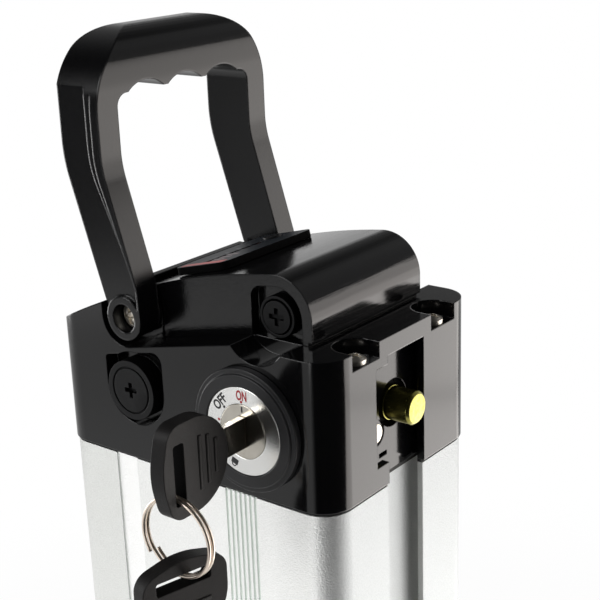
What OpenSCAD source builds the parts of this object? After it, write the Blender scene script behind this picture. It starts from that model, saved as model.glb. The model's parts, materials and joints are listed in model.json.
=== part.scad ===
// Seat-post battery pack: aluminium sleeve, moulded caps, folding handle, key lock and lock bolt.
// Frame: origin at the centre of the flat underside, +Z up, +X to the rail face, -Y to the lock face.
// Heights whose comment says "above the cap" are measured from the lower edge of the top cap.

/* [Case] */
// Length of the section, from the back to the rail face
case_l = 110; // [106:1:118]
// Width of the section, from the lock face to the charging face
case_w = 77; // [76:0.5:84]
// Radius of the upright corners of both caps
corner_r = 10; // [8:0.5:12]
// Height of the bottom cap
base_h = 23; // [21:0.5:28]
// Length of the aluminium sleeve
sleeve_h = 285; // [280:1:320]
// Wall of the aluminium sleeve
sleeve_wall = 2; // [1.6:0.1:2.2]
// Step from the caps in to the sleeve
sleeve_inset = 0.6; // [0.3:0.1:1]
// Thickness of both gaskets
gasket_t = 1; // [0.6:0.1:1.6]
// Wall of the moulded caps
cap_wall = 3; // [2.5:0.1:3.5]
// Width of one fine groove in the sleeve
groove_w = 0.9; // [0.6:0.1:1.2]
// Depth of the grooves and of the shallow band in the sleeve
groove_d = 0.5; // [0.3:0.1:0.8]

/* [Rail channel] */
// Width of the mouth of the rail channel
rail_mouth = 19; // [16:0.5:21]
// Width of the channel behind its lips
rail_under = 28; // [25:0.5:29]
// Depth of the channel from the rail face
rail_depth = 5; // [4.5:0.1:6]
// Thickness of the channel lips at the caps
rail_lip = 2.5; // [2:0.1:3]
// Depth of the closed upper end of the channel below the deck
rail_top_drop = 5.6; // [4:0.1:8]

/* [Top cap and hump] */
// Height of the deck above the cap
deck_h = 46.3; // [45:0.1:48]
// Distance from the rail face to the top of the arm ramp
ramp_back = 33.5; // [32:0.5:38]
// Radius of the round recess about the handle pivot
recess_r = 9.3; // [8.5:0.1:9.8]
// Distance from the rail face to the crest of the hump
crest_back = 26; // [24:0.5:28]
// Height of the crest above the deck
crest_up = 19.5; // [18:0.1:21]
// Slope of the back at the crest
crest_tilt = 6.7; // [5:0.1:8]
// Radius of the long curve of the back
back_r = 230; // [200:1:260]
// Distance from the rail face to the front of the hump
nose_back = 13; // [12.5:0.5:15]
// Radius of the rounded nose of the hump
nose_r = 12.5; // [10:0.5:13]
// Wall of the hump cover
hump_wall = 2.5; // [2:0.1:3]
// Gap from the side of the hump to the handle arm
arm_gap = 2; // [1.6:0.1:2.5]
// Distance from the rail face to the side screw of the hump
side_screw_back = 25.8; // [25:0.2:27]
// Height of the side screw of the hump above the deck
side_screw_up = 6.7; // [6.4:0.1:7]

/* [Handle] */
// Distance from the rail face to the handle pivot
pivot_back = 77.6; // [76.6:0.2:78]
// Depth of the handle pivot below the deck
pivot_drop = 0.1; // [-0.4:0.1:0.6]
// Radius of the arm about the pivot
boss_r = 7; // [6.6:0.1:7.4]
// Height of the top of the grip over the pivot
reach = 85.8; // [85.6:0.2:92]
// Depth of the grip from front to back
grip_w = 18; // [16:0.5:20]
// Height of the grip over its finger scallops
grip_h = 16; // [14:0.5:16]
// Distance of the front of the grip behind the pivot
grip_set = 4.1; // [3.8:0.1:5]
// Thickness of one arm
arm_t = 8.5; // [8:0.1:9]
// Radius of the upper corners of the handle, seen from the front
handle_corner_r = 24; // [18:0.5:26]

/* [Lock] */
// Distance from the rail face to the lock axis
lock_back = 28.9; // [28:0.2:30]
// Height of the lock axis above the cap
lock_h = 21.6; // [21:0.2:22.4]
// Radius of the black collar
collar_r = 19; // [18.4:0.1:19.4]
// Height of the collar over the lock face
collar_proud = 3.3; // [2.6:0.1:4]
// Radius of the dial ring
dial_r = 13.6; // [13:0.1:14.2]
// Radius of the turning barrel
barrel_r = 8.4; // [8:0.1:8.6]
// Radius of the lock bolt
bolt_r = 5.2; // [4.8:0.1:5.6]
// Length of the bolt that stands out of the channel floor
bolt_out = 8.8; // [8:0.1:9.4]
// Radius at which the cam pin circles
cam_throw = 4.4; // [4.2:0.1:4.7]
// Travel of the barrel when the key is pushed
push_travel = 3; // [2:0.1:3]

/* [Keys] */
// Thickness of the moulded key bow
bow_t = 5; // [4:0.1:5.4]
// Height of the key bow across the key
bow_h = 28; // [26:0.5:30]
// Length of the key bow along the key
bow_l = 26.4; // [25:0.2:28]
// Width of the key blade
blade_w = 9.5; // [8.5:0.1:10]
// Thickness of the key blade
blade_t = 2.2; // [1.8:0.1:2.4]
// Radius of the split ring at the middle of its wire
ring_r = 11.9; // [11:0.1:13]
// Radius of the split ring wire
ring_wire_r = 0.55; // [0.5:0.05:0.6]

/* [Gauge] */
// Width of the gauge panel across the hump
panel_w = 44.4; // [40:0.2:46]
// Length of the gauge panel along the slope
panel_l = 21.5; // [18:0.5:23]
// Thickness of the gauge panel
panel_t = 2.4; // [2:0.1:2.6]
// Travel of the gauge button
button_travel = 0.6; // [0.4:0.1:0.7]

/* [Cells] */
// Diameter of one cell
cell_d = 18.3; // [18:0.1:18.6]
// Gap from the cell pack to both side walls, which leaves 65 for a standard cell
pack_side_gap = 1.2; // [0.8:0.1:2]
// Distance between cell axes
cell_pitch = 19; // [18.9:0.1:19.4]

/* [Clearances] */
// Gap all round a piece that turns or slides in a bore
run_gap = 0.05; // [0.03:0.01:0.08]
// Gap round a piece that drops into its seat
seat_gap = 0.1; // [0.05:0.05:0.2]
// Gap between pieces that pass each other
pass_gap = 0.3; // [0.25:0.05:0.5]

/* [Hidden] */
$fn = 64;
eps = 0.01;

// Colours as the photograph shows them
gloss_black = [0.03, 0.03, 0.035];
matt_black = [0.08, 0.08, 0.085];
silver = [0.82, 0.83, 0.84];
nickel = [0.78, 0.75, 0.70];
brass = [0.85, 0.72, 0.25];
white_metal = [0.85, 0.85, 0.84];
board_green = [0.10, 0.35, 0.18];
cell_blue = [0.20, 0.42, 0.62];
copper = [0.75, 0.45, 0.25];
foam_grey = [0.35, 0.35, 0.36];
paper_tan = [0.72, 0.66, 0.45];

// Main planes and axes
x_front = case_l / 2;
x_back = -case_l / 2;
y_lock = -case_w / 2;
y_charge = case_w / 2;
z_sleeve = base_h + gasket_t;
z_cap = z_sleeve + sleeve_h + gasket_t;
x_floor = x_front - rail_depth;
rail_top_h = deck_h - rail_top_drop;
crest_h = deck_h + crest_up;
side_screw_h = deck_h + side_screw_up;
pivot_h = deck_h - pivot_drop;
x_pivot = x_front - pivot_back;
z_pivot = z_cap + pivot_h;
x_lock = x_front - lock_back;
z_lock = z_cap + lock_h;
x_side_screw = x_front - side_screw_back;
arm_in = case_w / 2 - arm_t;
hump_half = arm_in - arm_gap;
front_block = 11;
x_block = x_front - front_block;

// Screw ports of the sleeve, which the cap screws and base screws use
port_r = 4.6;
port_hole_r = 2;
port_inset = 7;
pocket_back = 3.8;
pocket_y = 20.4;
pocket_r = 6.6;
pocket_floor_h = deck_h - 5.1;
screw_r = port_hole_r - run_gap;
screw_grip = 12;
screw_head_r = 3.2;
screw_head_h = 2.6;
base_head_depth = 4;
front_ports = [for (s = [-1, 1]) [x_front - pocket_back, s * pocket_y]];
back_ports = [for (s = [-1, 1]) [x_back + port_inset, s * (case_w / 2 - port_inset)]];

// Window beside the channel mouth, rivet and slot in the channel floor
window_out = 15.6;
window_z = [7, rail_top_h - 2.7];
rivet_y = -9.2;
rivet_h = 14.6;
rivet_r = 3;
rivet_seat_r = 4.4;
floor_slot = [4, 1.4];
floor_slot_at = [-5.6, 6.7];

// Hump outline: the long curve of the back and the nose that rounds it off
back_c = [x_front - crest_back + back_r * sin(crest_tilt), crest_h - back_r * cos(crest_tilt)];
nose_x = x_front - nose_back - nose_r;
nose_c = [nose_x, back_c[1] + sqrt(pow(back_r - nose_r, 2) - pow(nose_x - back_c[0], 2))];
nose_touch_x = nose_c[0] + nose_r * (nose_c[0] - back_c[0]) / (back_r - nose_r);
hump_x0 = x_pivot - recess_r;

// Arm ramp: the line from its upper end that touches the round recess from below
ramp_top = [x_front - ramp_back, deck_h];
pivot_p = [x_pivot, pivot_h];
ramp_d = norm(ramp_top - pivot_p);
ramp_graze_r = recess_r - 0.05;
ramp_a = atan2(ramp_top[1] - pivot_p[1], ramp_top[0] - pivot_p[0]) - acos(ramp_graze_r / ramp_d);
ramp_touch = pivot_p + ramp_graze_r * [cos(ramp_a), sin(ramp_a)];
sky = 140;

// Handle outline, relative to the pivot
bend_h = 46;
foot_h = 10;
foot_in = 0.3;
grip_front_r = 9;
grip_back_r = 6;
foot_bend_r = 12;
front_bend_r = 30;
back_bend_r = 40;
back_bend_up = 1;
scallop_end = 4.9;
scallop_land = 2;
scallop_pitch = (2 * arm_in - 2 * scallop_end + scallop_land) / 3;
scallop_depth = 2.8;
scallop_half = (scallop_pitch - scallop_land) / 2;
scallop_r = (scallop_half * scallop_half + scallop_depth * scallop_depth) / (2 * scallop_depth);
opening_corner_r = 4;
pivot_head_r = 4.2;
pivot_head_t = 2.6;
pivot_sink_r = 4.6;
pivot_sink = 5.5;
pivot_shank_r = 3;
pivot_thread_r = 1.95;
pivot_thread_l = 10;
pivot_boss_r = 6.5;
pivot_boss_l = 13;
washer_r = 6;
panel_step = 0.7;
panel_shifts = [3.4, 6.2];
panel_foot_shift = 0.8;
panel_top_h = 72;
pivot_seat_y = case_w / 2 - pivot_sink + pass_gap;

// Side screw of the hump cover
side_head_r = 5;
side_washer_r = side_screw_up - pass_gap;
side_washer_t = 1.6;
side_head_t = 1.8;
side_pocket_depth = 3.4;
side_seat_y = hump_half - side_pocket_depth;
side_pocket_rim = 3.5;
side_pocket_l = 18.5;
side_pocket_corner_r = 4;
side_pocket_rise = 0.6;
side_boss_l = 8;
side_thread_r = 1.9;
side_thread_l = 16;
side_post_w = 10;
notch_r = 11.4;

// Fuse holder in its recess
recess_l = 24;
recess_back = 62.9;
recess_h = deck_h - 22.5;
recess_corner_h = 9.1;
recess_slope_rise = 5.1;
recess_depth = 5;
fuse_cap_r = 9.7;
fuse_cap_proud = 2;
fuse_disc_r = 7.2;
fuse_disc_step = 0.5;
fuse_flange_t = 1;
fuse_bore_r = 5;
fuse_tube_r = 8;
fuse_tube_l = case_w / 2 - 0.5;
fuse_tail_l = 5;
fuse_stem_l = 8;
fuse_link_l = fuse_tube_l - fuse_stem_l - 4;
y_recess = y_lock + recess_depth;
x_fuse = x_front - recess_back - recess_l / 2;
x_recess = x_fuse;

// Lock stack, from the face inwards
collar_step = 0.8;
collar_step_w = 1.6;
collar_neck_r = 15.4;
collar_neck_l = cap_wall;
dial_t = 2;
dial_below = 0.3;
lock_case_r = 11;
lock_sleeve_r = 9.8;
lock_tail_r = 4;
lock_end_t = 2;
sleeve_end_t = 2;
spring_room = 9;
barrel_end = 1;
cam_r = 7;
cam_t = 3.5;
cam_pin_r = 2;
cam_pin_past = 3;
yoke_t = 4;
yoke_h = 22;
yoke_l = 20;
yoke_slack = 1.4;
spring_wire_r = 0.5;
spring_turns = 4;
bush_r = 7.4;
bush_lip = 1.6;
bush_lip_t = 2;
bolt_sink = 4;
bolt_shank_more = 0.2;
bolt_chamfer = 0.8;
y_dial = y_lock - collar_proud + dial_below;
y_case_front = y_dial + dial_t;
y_cam = -yoke_t / 2 - 1 - push_travel;
y_case_end = y_cam - cam_t - 1;
y_spring_end = y_case_end - lock_end_t;
y_sleeve_front = y_case_front + 4;
y_sleeve_end = y_spring_end - spring_room;
y_barrel = y_dial - 0.1;
barrel_shoulder = y_sleeve_end - sleeve_end_t - seat_gap;
blade_in = barrel_shoulder - y_barrel - barrel_end;
spring_r = (lock_tail_r + lock_sleeve_r) / 2;
spring_l = spring_room - 2 * spring_wire_r - 2 * seat_gap;
bolt_x1 = x_floor + bolt_out;
yoke_x = x_lock + cam_throw;
bolt_travel = 2 * cam_throw;
bolt_flat_x = x_lock + cam_r + bolt_travel + pass_gap;
yoke_front = 6;

// Key shape: u runs out along the key from the barrel face, v across it
bow_u0 = 9.4;
bow_corner_r = 5.5;
bow_end_r = 25;
bow_end_set = 3.7;
bow_end_flat = 0.73;
bow_drop = 0.6;
ring_slot_w = 4;
ring_slot_l = 18;
ring_slot_r = 0.8;
ring_slot_drop = 1.2;
ring_play = 0.6;
ring_bridge = 4.4;
ring_start = 215;
ring_top = 450;
ring_steps = 24;
blade_in_bow = 6;
slot_u = bow_u0 + bow_l - ring_bridge - ring_slot_w / 2;
ring_pitch = 2 * ring_wire_r + 0.45;
function hang(t) = ring_wire_r + ring_r - sqrt(ring_r * ring_r - t * t / 4) + ring_play;
y_ring = y_barrel - slot_u;
z_ring = z_lock - ring_slot_drop - ring_slot_l / 2 + hang(bow_t) - ring_r;
spare_turn = 14;
spare_slot_z = z_ring - ring_r + hang(bow_t / cos(spare_turn));
z_spare = spare_slot_z - (slot_u + ring_slot_w / 2);

// Gauge on the slope of the hump
panel_back = 60.56;
panel_tilt = 14.5;
panel_top = crest_h - 4.2;
panel_corner_r = 3;
window_l = 12;
window_w = 37;
window_drop = 10;
panel_rib_t = 1.5;
board_drop = 6;
board_t = 1.6;
lamp_count = 5;
lamp_l = 2;
lamp_w = 4.4;
lamp_pitch = 5.6;
lamp_y0 = -16;
button_r = 3;
button_y = 14;
button_stem_r = 1.4;
button_proud = 0.7;
x_panel = x_front - panel_back;

// Charging socket on the far face
charge_back = 75;
charge_h = 22;
charge_recess_r = 13.6;
charge_recess_d = 4.6;
charge_flange_r = 13.2;
charge_flange_t = 1.2;
charge_tube_r = 8;
charge_bore_r = 6.4;
charge_tube_l = 18;
charge_pin_r = 0.9;
charge_pin_l = 9;
charge_pin_pcd = 6.4;
lid_r = 9.6;
lid_t = 2.2;
lid_knuckle_r = 1.5;
lid_knuckle_l = 7;
lid_hinge_h = 10.7;
lid_pin_r = 0.8;
lid_ear_t = 2;
x_charge = x_front - charge_back;
z_charge = z_cap + charge_h;
y_flange = y_charge - charge_recess_d + charge_flange_t;
y_lid = y_flange + pass_gap;
y_hinge = y_lid + lid_knuckle_r;

// Discharge contacts in the underside
block_x = x_front - 33;
block_l = 30;
block_w = 16;
block_h = 12;
blade_slot_l = 9;
blade_slot_w = 3;
contact_w = 7;
contact_t = 1.2;
contact_pitch = 14;
contact_up = 5;
contact_recess = 2;

// Cell pack and what rides on it
floor_t = 3;
rib_t = 3;
rib_h = 15;
rib_l = 70;
rib_y = case_w / 2 - 12.5;
lead_r = 1.8;
foam_t = 6;
foam_top_t = 5;
bms_room = 36;
holder_grip = 6.5;
holder_lip = 1.5;
holder_eye_r = 6;
holder_margin = 0.75;
strip_t = 0.3;
paper_t = 0.4;
bms_l = 70;
bms_w = 52;
fet_count = 6;
fet_l = 10;
fet_w = 14;
fet_h = 4.4;
fet_pitch = 11;
sink_t = 5;
sink_fin_h = 6;
cell_len = case_w - 2 * (sleeve_inset + sleeve_wall + pack_side_gap + paper_t + strip_t + holder_lip);
z_foam = floor_t + rib_h;
z_pack = z_foam + foam_t;
pack_x0 = x_back + port_inset + port_r + 2 * pass_gap;
pack_x1 = x_front - pocket_back - port_r - 2 * lead_r - 4 * pass_gap;
cell_box = cell_d + 2 * holder_margin;
cell_cols = 1 + floor((pack_x1 - pack_x0 - cell_box) / cell_pitch);
cell_rows = 1 + floor((z_cap - bms_room - z_pack - cell_box) / cell_pitch);
pack_l = (cell_cols - 1) * cell_pitch + cell_box;
pack_h = (cell_rows - 1) * cell_pitch + cell_box;
z_cell = z_pack + cell_box / 2;
x_pack = (pack_x0 + pack_x1) / 2;
z_pack_top = z_pack + pack_h;
z_board = z_pack_top + foam_top_t;

// Leads, as round steps chosen by hand from the pieces that they join
thin_lead_r = 1;
lead_sides = 8;
z_solder = z_board + board_t + 0.2;
y_tail = y_recess + fuse_tube_l + fuse_tail_l / 2;
z_tail = z_cap + recess_h - fuse_tube_r / 2 - 0.2;
lead_fuse_route = [
  [x_fuse, y_tail, z_tail], [x_fuse, y_tail, z_tail - 7.6], [x_fuse, y_tail + 3, z_tail - 15.6],
  [x_fuse, y_tail + 9, z_tail - 23.6], [x_fuse, y_tail + 14, z_tail - 31.6],
  [x_fuse, y_tail + 15, z_solder + 9.4], [x_fuse, y_tail + 15, z_solder]
];
x_solder = x_pack + bms_l / 2 - 8.6;
y_solder = bms_w / 2 - 4;
x_duct = x_front - 9.5;
y_duct = case_w / 2 - 8.5;
z_join = block_h + 2.5;
lead_discharge_route = [
  [x_solder, y_solder, z_solder], [x_solder, y_solder, z_solder + 7.4],
  [x_solder + 2, y_solder + 1, z_solder + 12.4], [x_solder + 8, y_solder + 4, z_solder + 13.4],
  [x_solder + 14, y_duct - 1, z_solder + 10.4], [x_duct - 0.5, y_duct, z_solder + 4.4],
  [x_duct, y_duct, z_solder - 4.6], [x_duct, y_duct, z_join + 15.5],
  [x_duct - 0.5, y_duct - 1, z_join + 5.5], [x_duct - 3, y_duct - 4, z_join + 1],
  [x_duct - 6.5, y_duct - 11, z_join], [block_x + 12, 10, z_join],
  [block_x + 8, 4, z_join], [block_x + 7.5, contact_t / 2 + 0.2, z_join]
];
x_wire = x_panel + (board_drop + board_t) * sin(panel_tilt);
z_wire = z_cap + panel_top - (board_drop + board_t + 0.2) * cos(panel_tilt);
lead_gauge_route = [
  [x_wire, 0, z_wire], [x_wire - 0.3, 0, z_wire - 7], [x_wire - 1.7, 0, z_wire - 16],
  [x_wire - 2.7, 1, z_wire - 26], [x_wire - 3.2, 5, z_wire - 38], [x_wire - 3.7, 11, z_wire - 50],
  [x_wire - 3.7, 15, z_wire - 62], [x_wire - 3.7, 16, z_solder + 11.4], [x_wire - 3.7, 16, z_solder]
];
y_socket = y_flange - charge_tube_l - 0.2;
lead_charge_route = [
  [x_charge, y_socket, z_charge - 4], [x_charge - 0.5, y_socket - 2.3, z_charge - 4.6],
  [x_charge - 3, y_socket - 3.8, z_charge - 7.5], [x_charge - 6.5, y_socket - 3.4, z_charge - 13],
  [x_charge - 9, y_socket - 2.4, z_charge - 24], [x_charge - 10, y_socket - 1.4, z_charge - 36],
  [x_charge - 10, y_socket - 1.4, z_solder + 8], [x_charge - 10, y_socket - 1.4, z_solder]
];

// Two-dimensional helpers
module rounded_rect(l, w, r) {
  square([l - 2 * r, w], center = true);
  square([l, w - 2 * r], center = true);
  for (sx = [-1, 1], sy = [-1, 1])
    translate([sx * (l / 2 - r), sy * (w / 2 - r)]) circle(r);
}

// Points of an outline whose corners [x, y, r] are rounded by arcs
function corner_arc(a, p, b, r, n) =
  let (u = (a - p) / norm(a - p), v = (b - p) / norm(b - p), half = acos(u * v) / 2)
  let (c = p + (u + v) / norm(u + v) * r / sin(half))
  let (s = p + u * r / tan(half) - c, e = p + v * r / tan(half) - c)
  let (a0 = atan2(s[1], s[0]), sweep = atan2(s[0] * e[1] - s[1] * e[0], s * e))
  [for (i = [0:n]) c + r * [cos(a0 + sweep * i / n), sin(a0 + sweep * i / n)]];
function flat(p) = [p[0], p[1]];
function rounded_path(pts, n = 10) = [
  for (i = [0:len(pts) - 1])
    let (a = flat(pts[(i + len(pts) - 1) % len(pts)]), p = flat(pts[i]), b = flat(pts[(i + 1) % len(pts)]))
    for (q = pts[i][2] > 0 ? corner_arc(a, p, b, pts[i][2], n) : [p]) q
];

// Placing helpers: profiles in XZ or YZ and rods along an axis
module along_y(y0, y1) {
  translate([0, y1, 0]) rotate([90, 0, 0]) linear_extrude(y1 - y0) children();
}
module along_x(x0, x1) {
  translate([x0, 0, 0]) rotate([90, 0, 90]) linear_extrude(x1 - x0) children();
}
module rod_y(x, z, r, y0, y1) {
  translate([x, y1, z]) rotate([90, 0, 0]) cylinder(r = r, h = y1 - y0);
}
module rod_x(y, z, r, x0, x1) {
  translate([x0, y, z]) rotate([0, 90, 0]) cylinder(r = r, h = x1 - x0);
}
module both_sides() {
  children();
  mirror([0, 1, 0]) children();
}

// Closed tube through a list of points, with a cross direction that is carried along without twist
function unit(v) = v / norm(v);
function tube_tangent(p, i) = unit(p[min(i + 1, len(p) - 1)] - p[max(i - 1, 0)]);
function tube_sides(p, i = 0, last = [0, 0, 0]) =
  i == len(p) ? [] :
  let (t = tube_tangent(p, i), first = cross(t, abs(t[1]) < 0.8 ? [0, 1, 0] : [1, 0, 0]))
  let (s = unit(i == 0 ? first : last - (last * t) * t))
  concat([s], tube_sides(p, i + 1, s));
function tube_ring(p, i, s, r, n) =
  let (w = cross(tube_tangent(p, i), s))
  [for (k = [0:n - 1]) p[i] + r * (cos(360 * k / n) * s + sin(360 * k / n) * w)];
module tube(p, r, n) {
  rings = len(p);
  sides = tube_sides(p);
  points = [for (i = [0:rings - 1]) each tube_ring(p, i, sides[i], r, n)];
  skin = [
    for (i = [0:rings - 2], k = [0:n - 1], half = [0, 1])
      let (a = i * n + k, b = i * n + (k + 1) % n)
      half == 0 ? [a, a + n, b] : [b, a + n, b + n]
  ];
  start = [for (k = [1:n - 2]) [0, k, k + 1]];
  end = [for (k = [1:n - 2]) let (o = (rings - 1) * n) [o, o + k + 1, o + k]];
  polyhedron(points, concat(skin, start, end));
}

// Sections that the sleeve, gaskets and caps share
module channel_2d() {
  translate([x_floor, -rail_mouth / 2]) square([rail_depth + 1, rail_mouth]);
  translate([x_floor, -rail_under / 2]) square([rail_depth - rail_lip, rail_under]);
}
module port_holes_2d(r) {
  for (p = concat(front_ports, back_ports)) translate(p) circle(r);
}
module sleeve_cavity_2d() {
  inset = sleeve_inset + sleeve_wall;
  difference() {
    rounded_rect(case_l - 2 * inset, case_w - 2 * inset, corner_r - inset);
    translate([x_floor - sleeve_wall, -rail_under / 2 - sleeve_wall])
      square([rail_depth + sleeve_wall, rail_under + 2 * sleeve_wall]);
    port_holes_2d(port_r);
  }
}
module sleeve_2d(inset) {
  difference() {
    rounded_rect(case_l - 2 * inset, case_w - 2 * inset, corner_r - inset);
    sleeve_cavity_2d();
    channel_2d();
    port_holes_2d(port_hole_r);
  }
}
// Fine grooves and a shallow band run down both broad faces
module face_lines_2d() {
  grooves_back = 28.3;
  groove_pitch = 1.85;
  band_back = 77.3;
  band_w = 9;
  both_sides() translate([x_front, y_lock + sleeve_inset]) {
    for (i = [0:6])
      translate([-grooves_back - i * groove_pitch - groove_w, -1]) square([groove_w, 1 + groove_d]);
    translate([-band_back - band_w, -1]) square([band_w, 1 + groove_d]);
  }
}

module sleeve() {
  color(silver) translate([0, 0, z_sleeve]) linear_extrude(sleeve_h) difference() {
    sleeve_2d(sleeve_inset);
    face_lines_2d();
  }
}
module gasket_at(z) {
  gasket_inset = sleeve_inset + 0.6;
  translate([0, 0, z]) linear_extrude(gasket_t) sleeve_2d(gasket_inset);
}
module top_gasket() { color(matt_black) gasket_at(z_cap - gasket_t); }
module base_gasket() { color(matt_black) gasket_at(base_h); }

// Outlines of the cap, hump and deck in XZ, measured above the cap
module back_curve_2d(inset) {
  translate(back_c) circle(back_r - inset, $fn = 256);
}
module above_deck_2d() {
  polygon([
    [hump_x0, pivot_h], [hump_x0, sky], [x_front + 1, sky], [x_front + 1, deck_h], ramp_top, ramp_touch, pivot_p
  ]);
  translate(pivot_p) circle(recess_r);
}
module cap_2d() {
  difference() {
    intersection() {
      back_curve_2d(0);
      translate([x_back - 5, 0]) square([case_l + 10, sky]);
    }
    above_deck_2d();
  }
}
module hump_2d(inset) {
  intersection() {
    above_deck_2d();
    union() {
      intersection() {
        back_curve_2d(inset);
        translate([hump_x0 + inset, 0]) square([nose_touch_x - hump_x0 - inset, sky]);
      }
      translate(nose_c) circle(nose_r - inset);
      translate([hump_x0 + inset, 0]) square([x_front - nose_back - hump_x0 - 2 * inset, nose_c[1]]);
    }
  }
}
// Recess of the fuse holder: round below, with a top edge parallel to the arm ramp
module fuse_recess_2d(grow) {
  r = recess_l / 2 + grow;
  low = recess_h + recess_corner_h + grow;
  translate([x_recess, recess_h]) circle(r);
  polygon(rounded_path([
    [x_recess - r, recess_h, 0], [x_recess + r, recess_h, 0],
    [x_recess + r, low + recess_slope_rise, 3.5], [x_recess - r, low, 1.5]
  ]));
}
module cap_outer() {
  intersection() {
    translate([0, 0, z_cap]) linear_extrude(sky) rounded_rect(case_l, case_w, corner_r);
    translate([0, 0, z_cap]) along_y(y_lock - 5, y_charge + 5) cap_2d();
  }
}
module cap_cavity() {
  intersection() {
    translate([0, 0, z_cap - eps]) linear_extrude(sky)
      rounded_rect(case_l - 2 * cap_wall, case_w - 2 * cap_wall, corner_r - cap_wall);
    translate([0, 0, z_cap - cap_wall]) along_y(y_lock, y_charge) cap_2d();
    translate([x_back, y_lock, z_cap - 1]) cube([x_block - x_back, case_w, sky]);
  }
}
// Thicker places inside the cap, behind its recesses
module cap_pads() {
  translate([0, 0, z_cap]) along_y(y_lock + 1, y_lock + recess_depth + cap_wall) fuse_recess_2d(cap_wall);
  rod_y(x_charge, z_charge, charge_recess_r + cap_wall, y_charge - charge_recess_d - cap_wall, y_charge - 1);
  both_sides() rod_y(x_side_screw, z_cap + side_screw_h, notch_r + cap_wall, hump_half - cap_wall, y_charge);
}
module pivot_boss_2d(grow) {
  translate(pivot_p) circle(pivot_boss_r + grow);
  translate([x_pivot - pivot_boss_r - grow, pivot_h - recess_r - cap_wall / 2])
    square([2 * (pivot_boss_r + grow), recess_r + cap_wall / 2]);
}
module side_post_2d() {
  translate([x_side_screw - side_post_w / 2, deck_h - eps])
    square([side_post_w, side_screw_h - deck_h + side_post_w / 2]);
}
module cap_cuts() {
  translate([0, 0, z_cap - 1]) linear_extrude(rail_top_h + 1) channel_2d();
  for (p = front_ports) translate([p[0], p[1], z_cap]) {
    translate([0, 0, pocket_floor_h]) cylinder(r = pocket_r, h = sky);
    translate([0, -pocket_r, pocket_floor_h]) cube([pocket_back + 1, 2 * pocket_r, sky]);
    translate([0, 0, -1]) cylinder(r = port_hole_r + seat_gap, h = sky);
  }
  translate([0, 0, z_cap]) along_y(y_lock - 1, y_lock + recess_depth) fuse_recess_2d(0);
  rod_y(x_fuse, z_cap + recess_h, fuse_tube_r + seat_gap, y_lock, 0);
  rod_y(x_lock, z_lock, collar_neck_r + seat_gap, y_lock - 1, y_lock + cap_wall + 1);
  rod_y(x_charge, z_charge, charge_recess_r, y_charge - charge_recess_d, y_charge + 1);
  rod_y(x_charge, z_charge, charge_tube_r + seat_gap, 0, y_charge);
  rod_x(0, z_lock, bush_r + seat_gap, x_block - 1, x_floor + 1);
  both_sides() rod_y(x_side_screw, z_cap + side_screw_h, notch_r, hump_half, y_charge + 1);
  both_sides() rod_y(x_pivot, z_pivot, pivot_thread_r + run_gap, hump_half - pivot_thread_l, hump_half + 2);
  both_sides() rod_y(x_side_screw, z_cap + side_screw_h, side_thread_r + run_gap, 0, hump_half);
  channel_window();
  wire_hole();
}
// Open window beside the channel mouth, a rivet seat and a small slot in the channel floor
module channel_window() {
  translate([x_floor, -window_out, z_cap + window_z[0]])
    cube([rail_depth + 1, window_out, window_z[1] - window_z[0]]);
  rod_x(rivet_y, z_cap + rivet_h, rivet_seat_r, x_floor - 0.5, x_floor + 1);
  rod_x(rivet_y, z_cap + rivet_h, rivet_r / 2 + seat_gap, x_floor - 4, x_floor + 1);
  translate([x_floor - 3, floor_slot_at[0] - floor_slot[0] / 2, z_cap + floor_slot_at[1] - floor_slot[1] / 2])
    cube([4, floor_slot[0], floor_slot[1]]);
}
// Hole in the deck under the hump for the gauge wires
module wire_hole() {
  hole_l = 16;
  hole_w = 12;
  hole_drop = 16;
  translate([x_panel - hole_l / 2, -hole_w / 2, z_cap + deck_h - hole_drop])
    cube([hole_l, hole_w, 2 * hole_drop]);
}
// Tabs under both caps that locate them inside the sleeve
module sleeve_tabs(z, h) {
  tab_w = 12;
  tab_t = 1;
  tab_back = 24;
  tab_front = 51;
  y_in = case_w / 2 - sleeve_inset - sleeve_wall - seat_gap;
  both_sides() for (x = [x_back + tab_back, x_front - tab_front])
    translate([x, y_in - tab_t, z]) cube([tab_w, tab_t, h]);
}
module top_cap() {
  color(gloss_black) difference() {
    union() {
      difference() {
        cap_outer();
        cap_cavity();
      }
      intersection() {
        cap_outer();
        cap_pads();
      }
      translate([0, 0, z_cap]) both_sides() along_y(hump_half - pivot_boss_l, hump_half + 0.4) pivot_boss_2d(0);
      translate([0, 0, z_cap]) both_sides()
        along_y(hump_half - side_boss_l - side_post_w, hump_half - side_boss_l - seat_gap) side_post_2d();
      sleeve_tabs(z_cap - gasket_t - 6, gasket_t + 12);
    }
    cap_cuts();
  }
}
module hump_cover() {
  gap_h = 1;
  gap_d = 1.4;
  color(gloss_black) translate([0, 0, z_cap]) difference() {
    union() {
      difference() {
        along_y(-hump_half, hump_half) hump_2d(0);
        along_y(-hump_half + hump_wall, hump_half - hump_wall) hump_2d(hump_wall);
      }
      both_sides() along_y(hump_half - side_boss_l, hump_half - eps)
        side_pocket_2d(side_pocket_rim - hump_wall);
    }
    both_sides() along_y(hump_half - side_pocket_depth, hump_half + 1) side_pocket_2d(side_pocket_rim);
    both_sides() rod_y(x_side_screw, side_screw_h, side_thread_r + 0.5, hump_half - side_boss_l - 1, hump_half);
    both_sides() along_y(hump_half - pivot_boss_l - 1, hump_half + 1) pivot_boss_2d(pass_gap);
    translate([x_front - nose_back - gap_d, -hump_half - 1, deck_h - 1]) cube([gap_d + 1, case_w, gap_h + 1]);
    on_slope() panel_seat();
  }
}
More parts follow.
